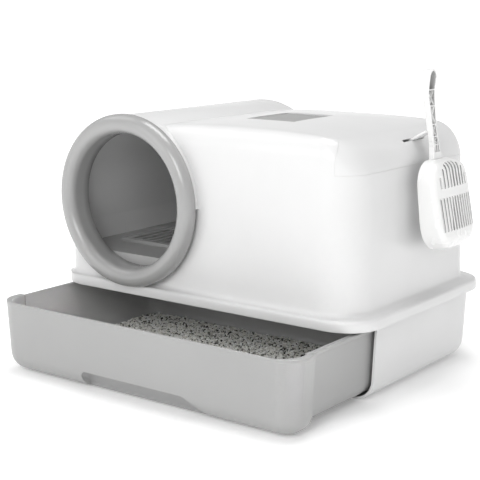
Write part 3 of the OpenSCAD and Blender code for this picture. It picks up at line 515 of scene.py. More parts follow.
def make_hood(material):
    shell = hood_shell()
    parts = [shell, collar()] + tray_ledges() + hinge_knuckles(0, -1)
    hood = join(parts, "hood_moulding")
    smooth(hood)
    return finish(hood, "hood", material, "white_shell", "hood_shell")


# ---- lid ----

COVER_X = (17.0, 97.0)
COVER_Y = (-84.0, 17.0)
COVER_TOP = 364.8
COVER_T = 3.4
COVER_GAP = 0.5
COVER_AXIS = 1.8
POCKET_Z = 359.3
POCKET_WALL = 3.0
POCKET_LEDGE = 4.0
HANG_Y = 15.0
HANG_Z = 341.0
HANG_W = 60.0
TONGUE_T = 3.0
TONGUE_TILT = 30.0
TONGUE_GAP = 0.4
SHOULDER_OUT = RIGHT[0] + math.sqrt(SHOULDER_R ** 2 - (HANG_Z - RIGHT[1]) ** 2)


def tilted_block(name, spot, turn, x, y, z, rounding=0.0):
    """A block whose corners are measured from a spot, turned about the spot's line along Y."""
    obj = block(name, x, y, z, rounding)
    obj.rotation_euler = (0, math.radians(turn), 0)
    obj.location = Vector(spot) * MM
    return place(obj)


def pocket_block(name, out, z0, z1):
    """A block over the cover's pocket, larger by out on each side."""
    out += COVER_GAP
    return block(name, (COVER_X[0] - out, COVER_X[1] + out), (COVER_Y[0] - out, COVER_Y[1] + out), (z0, z1))


def pocket_frame():
    """The moulded frame under the lid's top that the filter box and its cover sit in."""
    walls = pocket_block("pocket_frame", POCKET_WALL, POCKET_Z - 2, HOOD_TOP + 5)
    return combine(walls, loft("under_skin", hood_rows(0.3)), "INTERSECT")


def make_lid(material):
    lid = loft("lid_moulding", hood_rows(0))
    combine(lid, loft("inside", hood_rows(WALL)), "DIFFERENCE")
    combine(lid, lid_space(SEAM), "INTERSECT")
    combine(lid, pocket_frame(), "UNION")
    combine(lid, pocket_block("pocket", 0, POCKET_Z, HOOD_TOP + 10), "DIFFERENCE")
    combine(lid, pocket_block("opening", -POCKET_LEDGE, POCKET_Z - 6, HOOD_TOP), "DIFFERENCE")
    half = TONGUE_T / 2 + TONGUE_GAP
    hang_slot = tilted_block("hang_slot", (SHOULDER_OUT, HANG_Y, HANG_Z), -TONGUE_TILT, (-24, 16),
                             (-HANG_W / 2, HANG_W / 2), (-half, half), 1.2)
    combine(lid, hang_slot, "DIFFERENCE")
    lid = join([lid] + hinge_knuckles(1, 1), "lid_moulding")
    smooth(lid)
    return finish(lid, "lid", material, "white_shell", "flip_lid")


def make_cover(material):
    """The deodorant cover: a plate with a hinge bead and a notch for a finger."""
    x0, x1 = COVER_X[0] + COVER_AXIS, COVER_X[1]
    y0, y1 = COVER_Y
    low = COVER_TOP - COVER_T
    middle = low + COVER_T / 2
    cover = block("deodorant_cover", (x0, x1), (y0, y1), (low, COVER_TOP))
    notch = rod("notch", (x1 + 4, y1 - 24, low - 1), (x1 + 4, y1 - 24, COVER_TOP + 1), 9, 48)
    combine(cover, notch, "DIFFERENCE")
    bevel(cover, 0.7, 3, 50)
    bead = rod("bead", (x0, y0 + 0.5, middle), (x0, y1 - 0.5, middle), COVER_T / 2, 32, 0.4)
    cover = join([cover, bead], "deodorant_cover")
    smooth(cover)
    return finish(cover, "filter_cover", material, "grey_gloss", "filter_cover")


# ---- entrance ring ----

RING_FRONT_Y = -186.0
RING_R = 125.5
BEAD_R = 13.5
RING_SKIRT = 3.7
NECK_R = 101.5
NECK_LEN = 23.3
THROAT_R = 97.5
THROAT_LEN = 24.8


def ring_profile():
    """The ring's section: its outer bead, the neck that leads in, and the back of both."""
    bead = RING_R - BEAD_R

    def half_round(radius, turns):
        return [(bead + radius * math.cos(turn), -radius * math.sin(turn)) for turn in turns]

    arc = 22
    edge = 0.8
    lip = RING_R - 2 * BEAD_R
    points = [(RING_R - 0.5, RING_SKIRT), (RING_R, RING_SKIRT - 0.6)]
    points += half_round(BEAD_R, [math.pi * k / arc for k in range(arc + 1)])
    points += [(lip, 5), (lip - 0.2, 12), (THROAT_R, THROAT_LEN - edge), (THROAT_R + edge, THROAT_LEN),
               (THROAT_R + WALL - edge, THROAT_LEN), (NECK_R, NECK_LEN), (NECK_R, 0)]
    points += half_round(BEAD_R - WALL, [math.pi * (1 - k / arc) for k in range(arc + 1)])
    points += [(RING_R - WALL, RING_SKIRT - 0.6), (RING_R - WALL + 0.5, RING_SKIRT)]
    return points


def make_ring(material):
    ring = turned("entrance_flare", (BARREL_X, RING_FRONT_Y, BARREL_Z), ring_profile(), 192)
    smooth(ring, 50)
    return finish(ring, "hood", material, "grey_gloss", "entrance_ring")


# ---- tubs: base and drawer ----

BASE_Z = 1.5
BASE_RIM = 120.7
BASE_HALF = 258.0
BASE_DRAFT = 6.0
BASE_BACK = 174.0
BASE_FRONT = -120.0
BASE_ROUND = 30.0
BASE_CORNER = 42.0
BASE_SLOPE = BASE_DRAFT / (BASE_RIM - BASE_Z)
RIB_X = 150.0

DRAWER_FRONT = -317.0
DRAWER_RIM = 105.7
PANEL_HALF = 260.0
PANEL_DRAFT = 5.5
PANEL_Z = 2.0
PANEL_BACK = -271.0
PANEL_CORNER = 34.0
PANEL_ROUND = 28.0
PANEL_SLOPE = PANEL_DRAFT / (DRAWER_RIM - PANEL_Z)
BODY_HALF = 249.2
BODY_BACK = 15.2
BODY_Z = 6.2
BODY_ROUND = 26.0
LIP = 4.0
LIP_H = 5.5
LIP_W = 5.0
LINER_Z = 31.0
RECESS_BACK = -292.0
RECESS_HALF = 100.0
RECESS_RAMP = 24.0
RECESS_TOP = 27.5
RECESS_CORNER = 9.0


def tub_wall(half, slope, z0, z1, r):
    """(half width, height) up the side of a tub: round its lower edge, then up a wall that leans out."""
    steps = 9
    k = math.hypot(1, slope)
    centre = half + r * slope - r * k
    end = math.atan2(1, slope)
    wall = []
    for i in range(steps + 1):
        turn = end * i / steps
        wall.append((centre + r * math.sin(turn), z0 + r - r * math.cos(turn)))
    wall.append((half + slope * (z1 - z0), z1))
    return wall


def tub(name, wall, front, back, corners, lean_front=False):
    """A tub's form from its floor to its top. front, back and the corner radii hold at the top. Its
    front leans as its sides do, or else its back."""
    rows = []
    rim = wall[-1][0]
    for reach, z in wall:
        inset = rim - reach
        y0, y1 = (front + inset, back) if lean_front else (front, back - inset)
        radii = [max(r - inset, 1.5) if r > 0 else 0.0 for r in corners]
        rows.append(outline(-reach, reach, y0, y1, [(r, r) for r in radii], z))
    return loft(name, rows)


def base_solid(w):
    top = BASE_RIM + (5 if w else 0)
    wall = tub_wall(BASE_HALF - BASE_DRAFT - w, BASE_SLOPE, BASE_Z + w, top, BASE_ROUND - w)
    r = BASE_CORNER - w
    return tub("base_form", wall, BASE_FRONT - (5 if w else 0), BASE_BACK - w, [0, 0, r, r])


def make_base(material):
    base = base_solid(0)
    combine(base, base_solid(WALL), "DIFFERENCE")
    parts = [base, block("crossbar", (-BASE_HALF + 1, BASE_HALF - 1), (BASE_FRONT, BASE_FRONT + 6),
                         (SKIRT_Z, BASE_RIM), 1.0)]
    for x in (-RIB_X, RIB_X):
        parts.append(block("slide_rib", (x - 4, x + 4), (BASE_FRONT + 2, 138),
                           (BASE_Z + 2, BASE_Z + 4.4), 0.8))
    base = join(parts, "base_moulding")
    smooth(base)
    return finish(base, "base", material, "white_shell", "base_tub")


def panel_solid(w, rise=0.0):
    wall = tub_wall(PANEL_HALF - PANEL_DRAFT - w, PANEL_SLOPE, PANEL_Z + w, DRAWER_RIM + rise,
                    PANEL_ROUND - w)
    r = PANEL_CORNER - w
    return tub("panel_form", wall, DRAWER_FRONT + w, PANEL_BACK - w, [r, r, 0, 0], lean_front=True)


def body_solid(w, rise=0.0):
    floor_half = BODY_HALF - BASE_SLOPE * (DRAWER_RIM - BODY_Z)
    wall = tub_wall(floor_half - w, BASE_SLOPE, BODY_Z + w, DRAWER_RIM + rise, BODY_ROUND - w)
    r = PANEL_CORNER - w
    return tub("body_form", wall, DRAWER_FRONT + 38, BODY_BACK - w, [0, 0, r, r])


def stack(name, half, y0, y1, corners, steps):
    """A form through rounded rectangles. Each step is (how far it is set in, its height)."""
    rows = []
    for inset, z in steps:
        radii = [(max(c - inset, 0.5),) * 2 if c > 0 else (0, 0) for c in corners]
        rows.append(outline(-half + inset, half - inset, y0 + inset, y1 - inset, radii, z))
    return loft(name, rows)


def rounded_plate(name, half, y0, y1, corners, z0, z1, r):
    """A flat plate whose edges are rounded above and below."""
    turns = [math.radians(90 * k / 4) for k in range(5)]
    steps = [(r * (1 - math.sin(a)), z0 + r * (1 - math.cos(a))) for a in turns]
    steps += [(r * (1 - math.cos(a)), z1 - r * (1 - math.sin(a))) for a in turns]
    return stack(name, half, y0, y1, corners, steps)


def mouth(name, half, y0, y1, corners, z0, z1, r):
    """A cutter for the drawer's mouth, which widens at the top by a round of radius r."""
    turns = [math.radians(90 * k / 5) for k in range(1, 6)]
    steps = [(0, z0), (0, z1 - r)]
    steps += [(-r * (1 - math.cos(a)), z1 - r + r * math.sin(a)) for a in turns]
    return stack(name, half, y0, y1, corners, steps + [(-r, z1 + 2)])


def recess(w):
    """The finger recess under the front panel, or its housing where w is a wall. Its roof slopes down
    to the back, so that it shades itself."""
    half = RECESS_HALF + w
    foot = half + RECESS_RAMP
    top = RECESS_TOP + w
    floor = PANEL_Z + 3
    under = PANEL_Z - 5
    r = RECESS_CORNER
    points = [(foot, under), (foot, floor), (half - 16, top - 1.5), (half - 22, top)]
    for k in range(7):
        turn = math.radians(90 + 90 * k / 6)
        points.append((-half + r + r * math.cos(turn), top - r + r * math.sin(turn)))
    points.append((-half, under))
    lip = DRAWER_FRONT + 7 + w
    depth = RECESS_BACK + w - lip
    rows = []
    for y, sink in ((DRAWER_FRONT - 5, 0), (lip, 0), (lip + depth * 0.3, 0.14), (lip + depth * 0.7, 0.45),
                    (lip + depth, 0.85)):
        rows.append([(x, y, z - (z - floor) * sink if z > floor else z) for x, z in points])
    return loft("recess", rows)


def inner_wall_painted_light(place_at, normal):
    """Painted light: 1 on the inner sides of the tub's walls, above the finger recess, which the drawer's
    material paints a paler grey.
    """
    x, y, z = place_at
    middle, reach = (DRAWER_FRONT + BODY_BACK) / 2, (BODY_BACK - DRAWER_FRONT) / 2
    outward = normal.x * x / BODY_HALF + normal.y * (y - middle) / reach
    clear = z > LINER_Z - 1 or y > RECESS_BACK + 8
    return 1.0 if outward < -0.2 and clear and abs(x) < BODY_HALF - 0.5 else 0.0


def make_drawer(material):
    drawer = panel_solid(0)
    combine(drawer, body_solid(0), "UNION")
    combine(drawer, panel_solid(WALL, 5), "DIFFERENCE")
    combine(drawer, body_solid(WALL, 5), "DIFFERENCE")
    z0 = DRAWER_RIM - LIP_H
    r = PANEL_CORNER
    half, back = BODY_HALF + LIP, BODY_BACK + LIP
    rim = rounded_plate("rim", PANEL_HALF, DRAWER_FRONT, PANEL_BACK, [r, r, 0, 0], z0, DRAWER_RIM, 1.6)
    combine(rim, rounded_plate("rim_back", half, DRAWER_FRONT + r, back, [0, 0, r + LIP, r + LIP],
                               z0, DRAWER_RIM, 1.6), "UNION")
    liner = rounded_plate("liner", PANEL_HALF - 1, DRAWER_FRONT + 1, PANEL_BACK - 1, [r, r, 0, 0],
                          LINER_Z, DRAWER_RIM - 2, 0.3)
    combine(liner, panel_solid(1), "INTERSECT")
    combine(rim, liner, "UNION")
    combine(rim, mouth("mouth", half - LIP_W, DRAWER_FRONT + LIP_W, back - LIP_W,
                       [r - LIP_W, r - LIP_W, r, r], LINER_Z - 5, DRAWER_RIM, 2.0), "DIFFERENCE")
    combine(drawer, rim, "UNION")
    housing = recess(WALL)
    combine(housing, panel_solid(1), "INTERSECT")
    combine(drawer, housing, "UNION")
    combine(drawer, recess(0), "DIFFERENCE")
    drawer.name = "drawer_moulding"
    # Painted light on the inner walls, which the drawer's material makes a paler grey
    mark_painted_tone(drawer, inner_wall_painted_light)
    smooth(drawer)
    return finish(drawer, "drawer", material, "grey_shell", "drawer_tub")


# ---- litter ----

LITTER_Z = 25.0
BED_HALF = 240.0
BED_FRONT = -308.5
BED_BACK = 6.5
BED_CORNER = 26.0
BED_EDGE = 2.0
GRAIN_PITCH = 3.9
GRAIN_JITTER = 1.3


def on_bed(x, y):
    """Whether a granule at this place lies on the bed, clear of its corners and of the finger recess."""
    half, front, back = BED_HALF - BED_EDGE, BED_FRONT + BED_EDGE, BED_BACK - BED_EDGE
    if abs(x) > half or y < front or y > back:
        return False
    if y < RECESS_BACK + 6 and -RECESS_HALF - 8 < x < RECESS_HALF + RECESS_RAMP + 6:
        return False
    dx = abs(x) - (half - BED_CORNER)
    dy = max(y - (back - BED_CORNER), front + BED_CORNER - y)
    return dx < 0 or dy < 0 or math.hypot(dx, dy) < BED_CORNER


def bed_height(x, y):
    """The raked surface of the litter."""
    rolling = noise.noise(Vector((x * 0.012, y * 0.012, 3.1)))
    ripple = noise.noise(Vector((x * 0.045, y * 0.045, 7.4)))
    return LITTER_Z - 2.6 + 1.6 * rolling + 0.9 * ripple


def grain_shape():
    """One low granule with an uneven, angular skin: its points and its faces."""
    deselect()
    bpy.ops.mesh.primitive_ico_sphere_add(subdivisions=1, radius=1)
    seed = bpy.context.object
    points = [v.co.copy() for v in seed.data.vertices]
    faces = [tuple(f.vertices) for f in seed.data.polygons]
    bpy.data.objects.remove(seed)
    return points, faces


def granules(name, y0, y1, seed):
    """Loose granules spread over part of the bed, as one mesh."""
    chance = random.Random(seed)
    shape, sides = grain_shape()
    points, faces, tones = [], [], []
    rows = int((y1 - y0) / GRAIN_PITCH)
    across = int(2 * BED_HALF / GRAIN_PITCH)
    for j in range(rows + 1):
        for i in range(across + 1):
            x = -BED_HALF + (i + 0.5 * (j % 2)) * GRAIN_PITCH + chance.uniform(-GRAIN_JITTER, GRAIN_JITTER)
            y = y0 + j * GRAIN_PITCH + chance.uniform(-GRAIN_JITTER, GRAIN_JITTER)
            if not on_bed(x, y):
                continue
            size = chance.uniform(1.4, 2.9)
            turn = Matrix.Rotation(chance.uniform(0, math.tau), 3, "Z") @ Matrix.Rotation(
                chance.uniform(-0.9, 0.9), 3, "X")
            stretch = Vector((chance.uniform(0.95, 1.45), chance.uniform(0.7, 1.0),
                              chance.uniform(0.55, 0.85)))
            spot = Vector((x, y, bed_height(x, y) + chance.uniform(-0.6, 1.6)))
            first = len(points)
            tones += [chance.random()] * len(shape)
            for p in shape:
                dent = chance.uniform(0.78, 1.12)
                bump = Vector(a * b * size * dent for a, b in zip(p, stretch))
                points.append((spot + turn @ bump) * MM)
            faces += [tuple(first + n for n in side) for side in sides]
    mesh = bpy.data.meshes.new(name)
    mesh.from_pydata(points, [], faces)
    mesh.attributes.new(TONE, "FLOAT", "POINT").data.foreach_set("value", tones)
    return link(bpy.data.objects.new(name, mesh))


def litter_base():
    """The body of the litter under its loose top."""
    inset = WALL + 0.3
    form = panel_solid(inset)
    combine(form, body_solid(inset), "UNION")
    over = block("over", (-300, 300), (-340, 60), (LITTER_Z - 4, 200))
    combine(form, over, "DIFFERENCE")
    return combine(form, recess(inset), "DIFFERENCE")


def make_litter(material):
    middle = (BED_FRONT + BED_BACK) / 2
    pieces = [litter_base(), granules("litter_front", BED_FRONT, middle, 5),
              granules("litter_rear", middle + GRAIN_PITCH, BED_BACK, 9)]
    # The body has no granule tones and takes the ramp's darkest stop: painted shade between the granules
    pieces[0].name = "litter_body"
    for piece in pieces:
        finish(piece, "drawer", material, "litter", "litter_bed")
    return pieces


# ---- scoop ----

BOWL_X = 256.5
BOWL_Y = 20.0
BOWL_HALF = 51.0
BOWL_LOW, BOWL_HIGH = 190.0, 316.0
BOWL_D = 36.0
BOWL_BOW = 300.0
BOWL_RAKE = 10.0
BOWL_LOW_R = 44.0
BOWL_TOP_R = 34.0
BOWL_FOOT = 24.0  # the face rounds off over this height below, and over the next above
BOWL_BROW = 16.0
BOWL_POWER = 2.4
SCOOP_WALL = 2.2
PIVOT = Vector((254.0, 20.0, 341.0))
SCOOP_LEAN = 6.0
RIDGE_Z = 271.0
RIDGE_HALF = 6.0
SLOT_W = 4.2
SLOT_LEN = 46.0
SLOT_PITCH = 7.4
SLOTS = 12
ARCH_PITCH = 8.7
ARCH_RISE = 36.0
ARCH_HALF = 39.0
ARCH_SIDE = 4
TONGUE_W = 26.0

# The handle from foot to top: height, back, front, half width
HANDLE = ((308, 256.4, 264.2, 14.5), (316, 256.0, 263.8, 13.0), (325, 255.2, 263.1, 10.4),
          (334, 254.5, 262.5, 8.4), (344, 253.7, 261.8, 7.3), (358, 252.2, 261.0, 7.0),
          (372, 251.0, 260.4, 7.3), (388, 250.8, 259.9, 8.5), (405, 250.7, 259.7, 9.75),
          (416, 250.0, 261.4, 10.3), (427.5, 249.3, 264.0, 10.5), (438, 248.6, 264.9, 10.5))
HANDLE_BACK = 251.5
HANDLE_BARS = (335.0, 346.0, 363.0, 388.0, 410.0)
FAN_Z = 329.0
FAN_SPREAD = (-0.55, -0.18, 0.18, 0.55)


def bowl_face(z):
    """How far the bowl stands out in its middle at a height: round ends and a slight rake."""
    foot, brow = BOWL_LOW + BOWL_FOOT, BOWL_HIGH - BOWL_BROW
    reach = BOWL_D - BOWL_RAKE * max(0, z - foot) / (BOWL_HIGH - foot)
    past = max((foot - z) / BOWL_FOOT, (z - brow) / BOWL_BROW)
    return reach * (1 - past ** BOWL_POWER) ** (1 / BOWL_POWER) if past > 0 else reach


def bowl_width(z):
    for r, past in ((BOWL_LOW_R, BOWL_LOW + BOWL_LOW_R - z), (BOWL_TOP_R, z - BOWL_HIGH + BOWL_TOP_R)):
        if past > 0:
            return BOWL_HALF - r + math.sqrt(max(0, r ** 2 - past ** 2))
    return BOWL_HALF


def bowed(x0, reach, half, r, z):
    """A ring of the bowl: straight sides, round edges and a face that curves from side to side."""
    share = reach / BOWL_D / BOWL_BOW
    turn = math.atan(share * (half - r))
    edge = half - r * (1 - math.sin(turn))
    centre = (reach - share * edge ** 2 / 2 - r * math.cos(turn), edge - r * math.sin(turn))
    right = []
    for k in range(9):
        t = edge * k / 8
        right.append((BOWL_X + reach - share * t * t / 2, t))
    for k in range(1, 8):
        a = turn + (math.pi / 2 - turn) * k / 7
        right.append((BOWL_X + centre[0] + r * math.cos(a), centre[1] + r * math.sin(a)))
    right.append((x0, half))
    left = [(x, -t) for x, t in reversed(right[1:])]
    return [(x, BOWL_Y + t, z) for x, t in left + right]


def bowl(w):
    """The bowl's form, set in by w and open towards the hood where w is a wall."""
    foot, brow = BOWL_LOW + BOWL_FOOT, BOWL_HIGH - BOWL_BROW
    heights = [BOWL_LOW + BOWL_FOOT * (1 - math.cos(math.radians(90 * k / 12))) for k in range(13)]
    heights += [foot + (brow - foot) * k / 8 for k in range(1, 9)]
    heights += [brow + BOWL_BROW * math.sin(math.radians(90 * k / 10)) for k in range(1, 11)]
    x0 = BOWL_X - (5 if w else 0)
    middle = (BOWL_LOW + BOWL_HIGH) / 2
    rows = []
    for z in heights:
        reach = max(bowl_face(z), 1.0)
        half = bowl_width(z)
        r = min(9.0, reach * 0.6, half - 0.5)
        at = middle + (z - middle) * (1 - 2 * w / (BOWL_HIGH - BOWL_LOW))
        rows.append(bowed(x0, max(reach - w * 0.6, 0.6), half - w, max(min(r - w * 0.5, reach - w), 0.3), at))
    return loft("bowl", rows)


def face_slot(y, z0, z1):
    """A cutter for one slot of the bowl's face."""
    half = SLOT_W / 2
    y += BOWL_Y
    return block("slot", (BOWL_X + BOWL_D - 16, BOWL_X + BOWL_D + 5), (y - half, y + half), (z0, z1),
                 half - 0.05, 4)


def bowl_slots():
    """Cutters for the two rows of slots in the bowl's face, the upper one arched."""
    upper, lower = RIDGE_Z + RIDGE_HALF, RIDGE_Z - RIDGE_HALF
    cutters = [face_slot((i - (SLOTS - 1) / 2) * SLOT_PITCH, lower - SLOT_LEN, lower)
               for i in range(SLOTS)]
    for i in range(-ARCH_SIDE, ARCH_SIDE + 1):
        rise = ARCH_RISE * math.sqrt(1 - (i * ARCH_PITCH / ARCH_HALF) ** 2)
        cutters.append(face_slot(i * ARCH_PITCH, upper, upper + rise))
    return join(cutters, "slots")


def handle_form(w):
    """The handle's form with a round top; where w is a wall, the channel that is cut out of it."""
    low, bend = HANDLE_BARS[0] - 16, 400
    last, end = HANDLE[-2:]
    top, r = end[0], end[3]
    stations = list(HANDLE[:-1])
    for k in range(1, 9):
        turn = math.radians(90 * k / 8)
        rise = math.sin(turn)
        stations.append((top - r + r * rise, last[1] + (end[1] - last[1]) * rise,
                         last[2] + (end[2] - last[2]) * rise, max(r * math.cos(turn), 0.5)))
    rows = []
    for z, back, front, half in stations:
        if w and z < low:
            continue
        x0, x1 = (back + w, front + 6) if w else (back, front)
        half = max(half - w, 0.2)
        round_r = min(1.0, half * 0.8)
        at = z if z < bend else bend + (z - bend) * (1 - w / (top - bend))
        rows.append(outline(x0, x1, BOWL_Y - half, BOWL_Y + half, [(round_r, round_r)] * 4, at))
    return loft("handle", rows)


def handle_at(z):
    """Back, front and half width of the handle at a height."""
    z = min(max(z, HANDLE[0][0]), HANDLE[-1][0])
    for low, high in zip(HANDLE, HANDLE[1:]):
        if low[0] <= z <= high[0]:
            share = (z - low[0]) / (high[0] - low[0])
            return [a + (b - a) * share for a, b in zip(low[1:], high[1:])]


def handle():
    """The handle: a channel open to the outside, its lower part stiffened by bars and crossed ribs."""
    bar = handle_form(0)
    combine(bar, handle_form(SCOOP_WALL), "DIFFERENCE")
    parts = [bar]

    def rib(shape, z, thick, length, turn, aside=0.0):
        back, front, half = shape
        piece = block("rib", (back + 1, front - 0.8), (-thick, thick), (-length, length), 0.3, 2)
        piece.rotation_euler = (math.radians(turn), 0, 0)
        piece.location = Vector((0, BOWL_Y + aside * half, z)) * MM
        parts.append(place(piece))

    for z in HANDLE_BARS:
        back, front, half = handle_at(z)
        parts.append(block("bar", (back + 1, front - 0.6), (BOWL_Y - half + 1, BOWL_Y + half - 1),
                           (z - 0.8, z + 0.8), 0.3, 2))
    for low, high in zip(HANDLE_BARS, HANDLE_BARS[1:]):
        middle = (low + high) / 2
        shape = handle_at(middle)
        across = 2 * shape[2] - 2.5
        cross = math.degrees(math.atan2(across, high - low))
        for sign in (-1, 1):
            rib(shape, middle, 0.75, math.hypot(across, high - low) / 2, sign * cross)
    for spread in FAN_SPREAD:
        rib(handle_at(FAN_Z - 4), FAN_Z, 0.7, 11, spread * 28, spread * -1.25)
    return parts


def scoop_painted_shade(place_at, normal):
    """Painted shade: 1 or less on the insides of the bowl, its slots and the handle's channel, 0 elsewhere.
    """
    x, y, z = place_at
    side = y - BOWL_Y
    t = abs(side)
    inward = normal.y * (1 if side > 0 else -1) < -0.3
    if z > BOWL_HIGH + 4:
        back, front, half = handle_at(z)
        in_channel = t < half - 1 and back + 1 < x < front - 0.8
        return 0.7 if in_channel and (inward or normal.x > 0.5) else 0.0
    if not BOWL_LOW + 1.2 < z < BOWL_HIGH - 1.2:
        return 0.0
    if not BOWL_X - 1 < x < BOWL_X + bowl_face(z) - t * t / 2 / BOWL_BOW - 0.4:
        return 0.0
    edge = bowl_width(z)
    if t >= edge - 1 or not (inward or normal.x < -0.3 or t < edge - 6.5):
        return 0.0
    # The painted shade thins out towards +Y, most in the lower row of slots
    fade = min(max((side + 30) / 60, 0), 1)
    return 1 - (0.85 if z < RIDGE_Z else 0.3) * fade


def make_scoop(material):
    body = bowl(0)
    combine(body, bowl(SCOOP_WALL), "DIFFERENCE")
    combine(body, bowl_slots(), "DIFFERENCE")
    scoop = join([body] + handle(), "litter_scoop")
    # Painted shade on the scoop's insides, slots and handle channel
    mark_painted_tone(scoop, scoop_painted_shade)
    scoop.location = -PIVOT * MM
    place(scoop)
    scoop.rotation_euler = (0, math.radians(-SCOOP_LEAN), 0)
    scoop.location = PIVOT * MM
    place(scoop)
    reach = (HANDLE_BACK + 1 - SHOULDER_OUT) / math.cos(math.radians(TONGUE_TILT))
    tongue = tilted_block("tongue", (SHOULDER_OUT, BOWL_Y, HANG_Z), -TONGUE_TILT, (-12, reach),
                          (-TONGUE_W / 2, TONGUE_W / 2), (-TONGUE_T / 2, TONGUE_T / 2), 0.8)
    scoop = join([scoop, tongue], "litter_scoop")
    smooth(scoop)
    return finish(scoop, "scoop", material, "white_gloss", "scoop")


# ---- materials ----


def node_tree(name):
    material = bpy.data.materials.new(name)
    material.use_nodes = True
    tree = material.node_tree
    return material, tree, tree.nodes["Principled BSDF"]


def set_inputs(shader, **values):
    """Plain values for a node's inputs. An underscore stands for the space in an input's name."""
    for name, value in values.items():
        shader.inputs[name.replace("_", " ")].default_value = value


def add(tree, kind, feeds=(), operation=None, **values):
    """A new node. Each feed is (input, the socket that feeds it)."""
    new = tree.nodes.new("ShaderNode" + kind)
    if operation:
        new.operation = operation
    set_inputs(new, **values)
    for name, socket in feeds:
        tree.links.new(socket, new.inputs[name])
    return new


def spot_of(tree, kind="Object"):
    return add(tree, "TexCoord").outputs[kind]


def noise_of(tree, scale, detail=None):
    """A noise over the piece's own coordinates."""
    cloud = add(tree, "TexNoise", [("Vector", spot_of(tree))], Scale=scale)
    if detail is not None:
        cloud.inputs["Detail"].default_value = detail
    return cloud.outputs["Fac"]


def colour_ramp(tree, factor, *stops):
    """A ramp through (place, colour); the first and the last are the ramp's own two stops."""
    ramp = add(tree, "ValToRGB", [("Fac", factor)])
    elements = ramp.color_ramp.elements
    for n, (at, colour) in ((0, stops[0]), (1, stops[-1])):
        elements[n].position = at
        elements[n].color = (*colour, 1)
    for at, colour in stops[1:-1]:
        elements.new(at).color = (*colour, 1)
    return ramp.outputs["Color"]


def vary_roughness(tree, skin, factor, low, high):
    rough = add(tree, "MapRange", [("Value", factor)], To_Min=low, To_Max=high)
    tree.links.new(rough.outputs["Result"], skin.inputs["Roughness"])


def add_bump(tree, skin, height, strength, distance):
    bump = add(tree, "Bump", [("Height", height)], Strength=strength, Distance=distance)
    tree.links.new(bump.outputs["Normal"], skin.inputs["Normal"])


def plastic(name, colour, roughness, coat=0.0, grain=0.05, flow_scale=9.0):
    """A moulded plastic: faint flow marks in its colour, a fine skin on its surface."""
    material, tree, skin = node_tree(name)
    tint = colour_ramp(tree, noise_of(tree, flow_scale, 3.0), (0.3, [c * 0.975 for c in colour]),
                       (0.7, [min(1, c * 1.01) for c in colour]))
    tree.links.new(tint, skin.inputs["Base Color"])
    vary_roughness(tree, skin, noise_of(tree, 55.0), roughness - 0.03, roughness + 0.04)
    add_bump(tree, skin, noise_of(tree, 1400.0, 2.0), grain, 0.0002)
    set_inputs(skin, IOR=1.5, Coat_Weight=coat, Coat_Roughness=0.12)
    return material


def mix_tone(tree, factor, tone):
    """Replaces the shader's colour by a grey tone as far as the factor says."""
    colour = tree.nodes["Principled BSDF"].inputs["Base Color"]
    mix = tree.nodes.new("ShaderNodeMix")
    mix.data_type = "RGBA"
    own, other = [i for i in mix.inputs if i.type == "RGBA"]
    other.default_value = (tone, tone, tone, 1)
    tree.links.new(factor, mix.inputs["Factor"])
    tree.links.new(colour.links[0].from_socket, own)
    tree.links.new([o for o in mix.outputs if o.type == "RGBA"][0], colour)


def painted_shade_box(material, tone, *limits):
    """Paints shade into the material inside a box as another tone; each limit runs from none to all of it
    along an axis.
    """
    tree = material.node_tree
    split = add(tree, "SeparateXYZ", [("Vector", spot_of(tree))])
    shade = None
    for axis, none, full in limits:
        ramp = add(tree, "MapRange", [("Value", split.outputs[axis])], From_Min=none * MM, From_Max=full * MM)
        within = ramp.outputs["Result"]
        if shade is not None:
            within = add(tree, "Math", [(0, shade), (1, within)], "MULTIPLY").outputs["Value"]
        shade = within
    mix_tone(tree, shade, tone)


def paint_marked_light_and_shade(material, tone):
    """Paints the marked faces in another tone: painted shade where the tone is darker than the material,
    painted light where it is lighter.
    """
    tree = material.node_tree
    mark = tree.nodes.new("ShaderNodeAttribute")
    mark.attribute_name = PAINTED_TONE_MARK
    mix_tone(tree, mark.outputs["Fac"], tone)


def litter_material():
    """Clay granules: each has one tone of its own, from dark to pale; the body below them is dark, painted
    shade for the gaps between the granules.
    """
    material, tree, skin = node_tree("litter_granules")
    tone_of = tree.nodes.new("ShaderNodeAttribute")
    tone_of.attribute_name = TONE
    tone = colour_ramp(tree, tone_of.outputs["Fac"], (0.0, (0.05, 0.05, 0.042)), (0.06, (0.2, 0.2, 0.17)),
                       (0.16, (0.78, 0.77, 0.71)), (0.5, (0.96, 0.95, 0.9)), (0.75, (0.98, 0.98, 0.95)),
                       (1.0, (0.98, 0.98, 0.96)))
    tree.links.new(tone, skin.inputs["Base Color"])
    add_bump(tree, skin, noise_of(tree, 2600.0), 0.5, 0.0004)
    skin.inputs["Roughness"].default_value = 0.9
    return material


def steel_material():
    """Bright zinc-plated steel with fine drawn lines."""
    material, tree, skin = node_tree("pin_steel")
    vary_roughness(tree, skin, noise_of(tree, 900.0), 0.22, 0.38)
    set_inputs(skin, Base_Color=(0.66, 0.66, 0.68, 1), Metallic=1.0)
    return material


def carbon_material():
    """The filter's felt with carbon grains in it."""
    material, tree, skin = node_tree("carbon_felt")
    grains = add(tree, "TexVoronoi", [("Vector", spot_of(tree))], Scale=420.0).outputs["Distance"]
    tone = colour_ramp(tree, grains, (0.0, (0.008, 0.008, 0.009)), (1.0, (0.06, 0.06, 0.062)))
    tree.links.new(tone, skin.inputs["Base Color"])
    add_bump(tree, skin, grains, 0.8, 0.0006)
    skin.inputs["Roughness"].default_value = 0.95
    return material


GREY_TONE = (0.33, 0.33, 0.328)

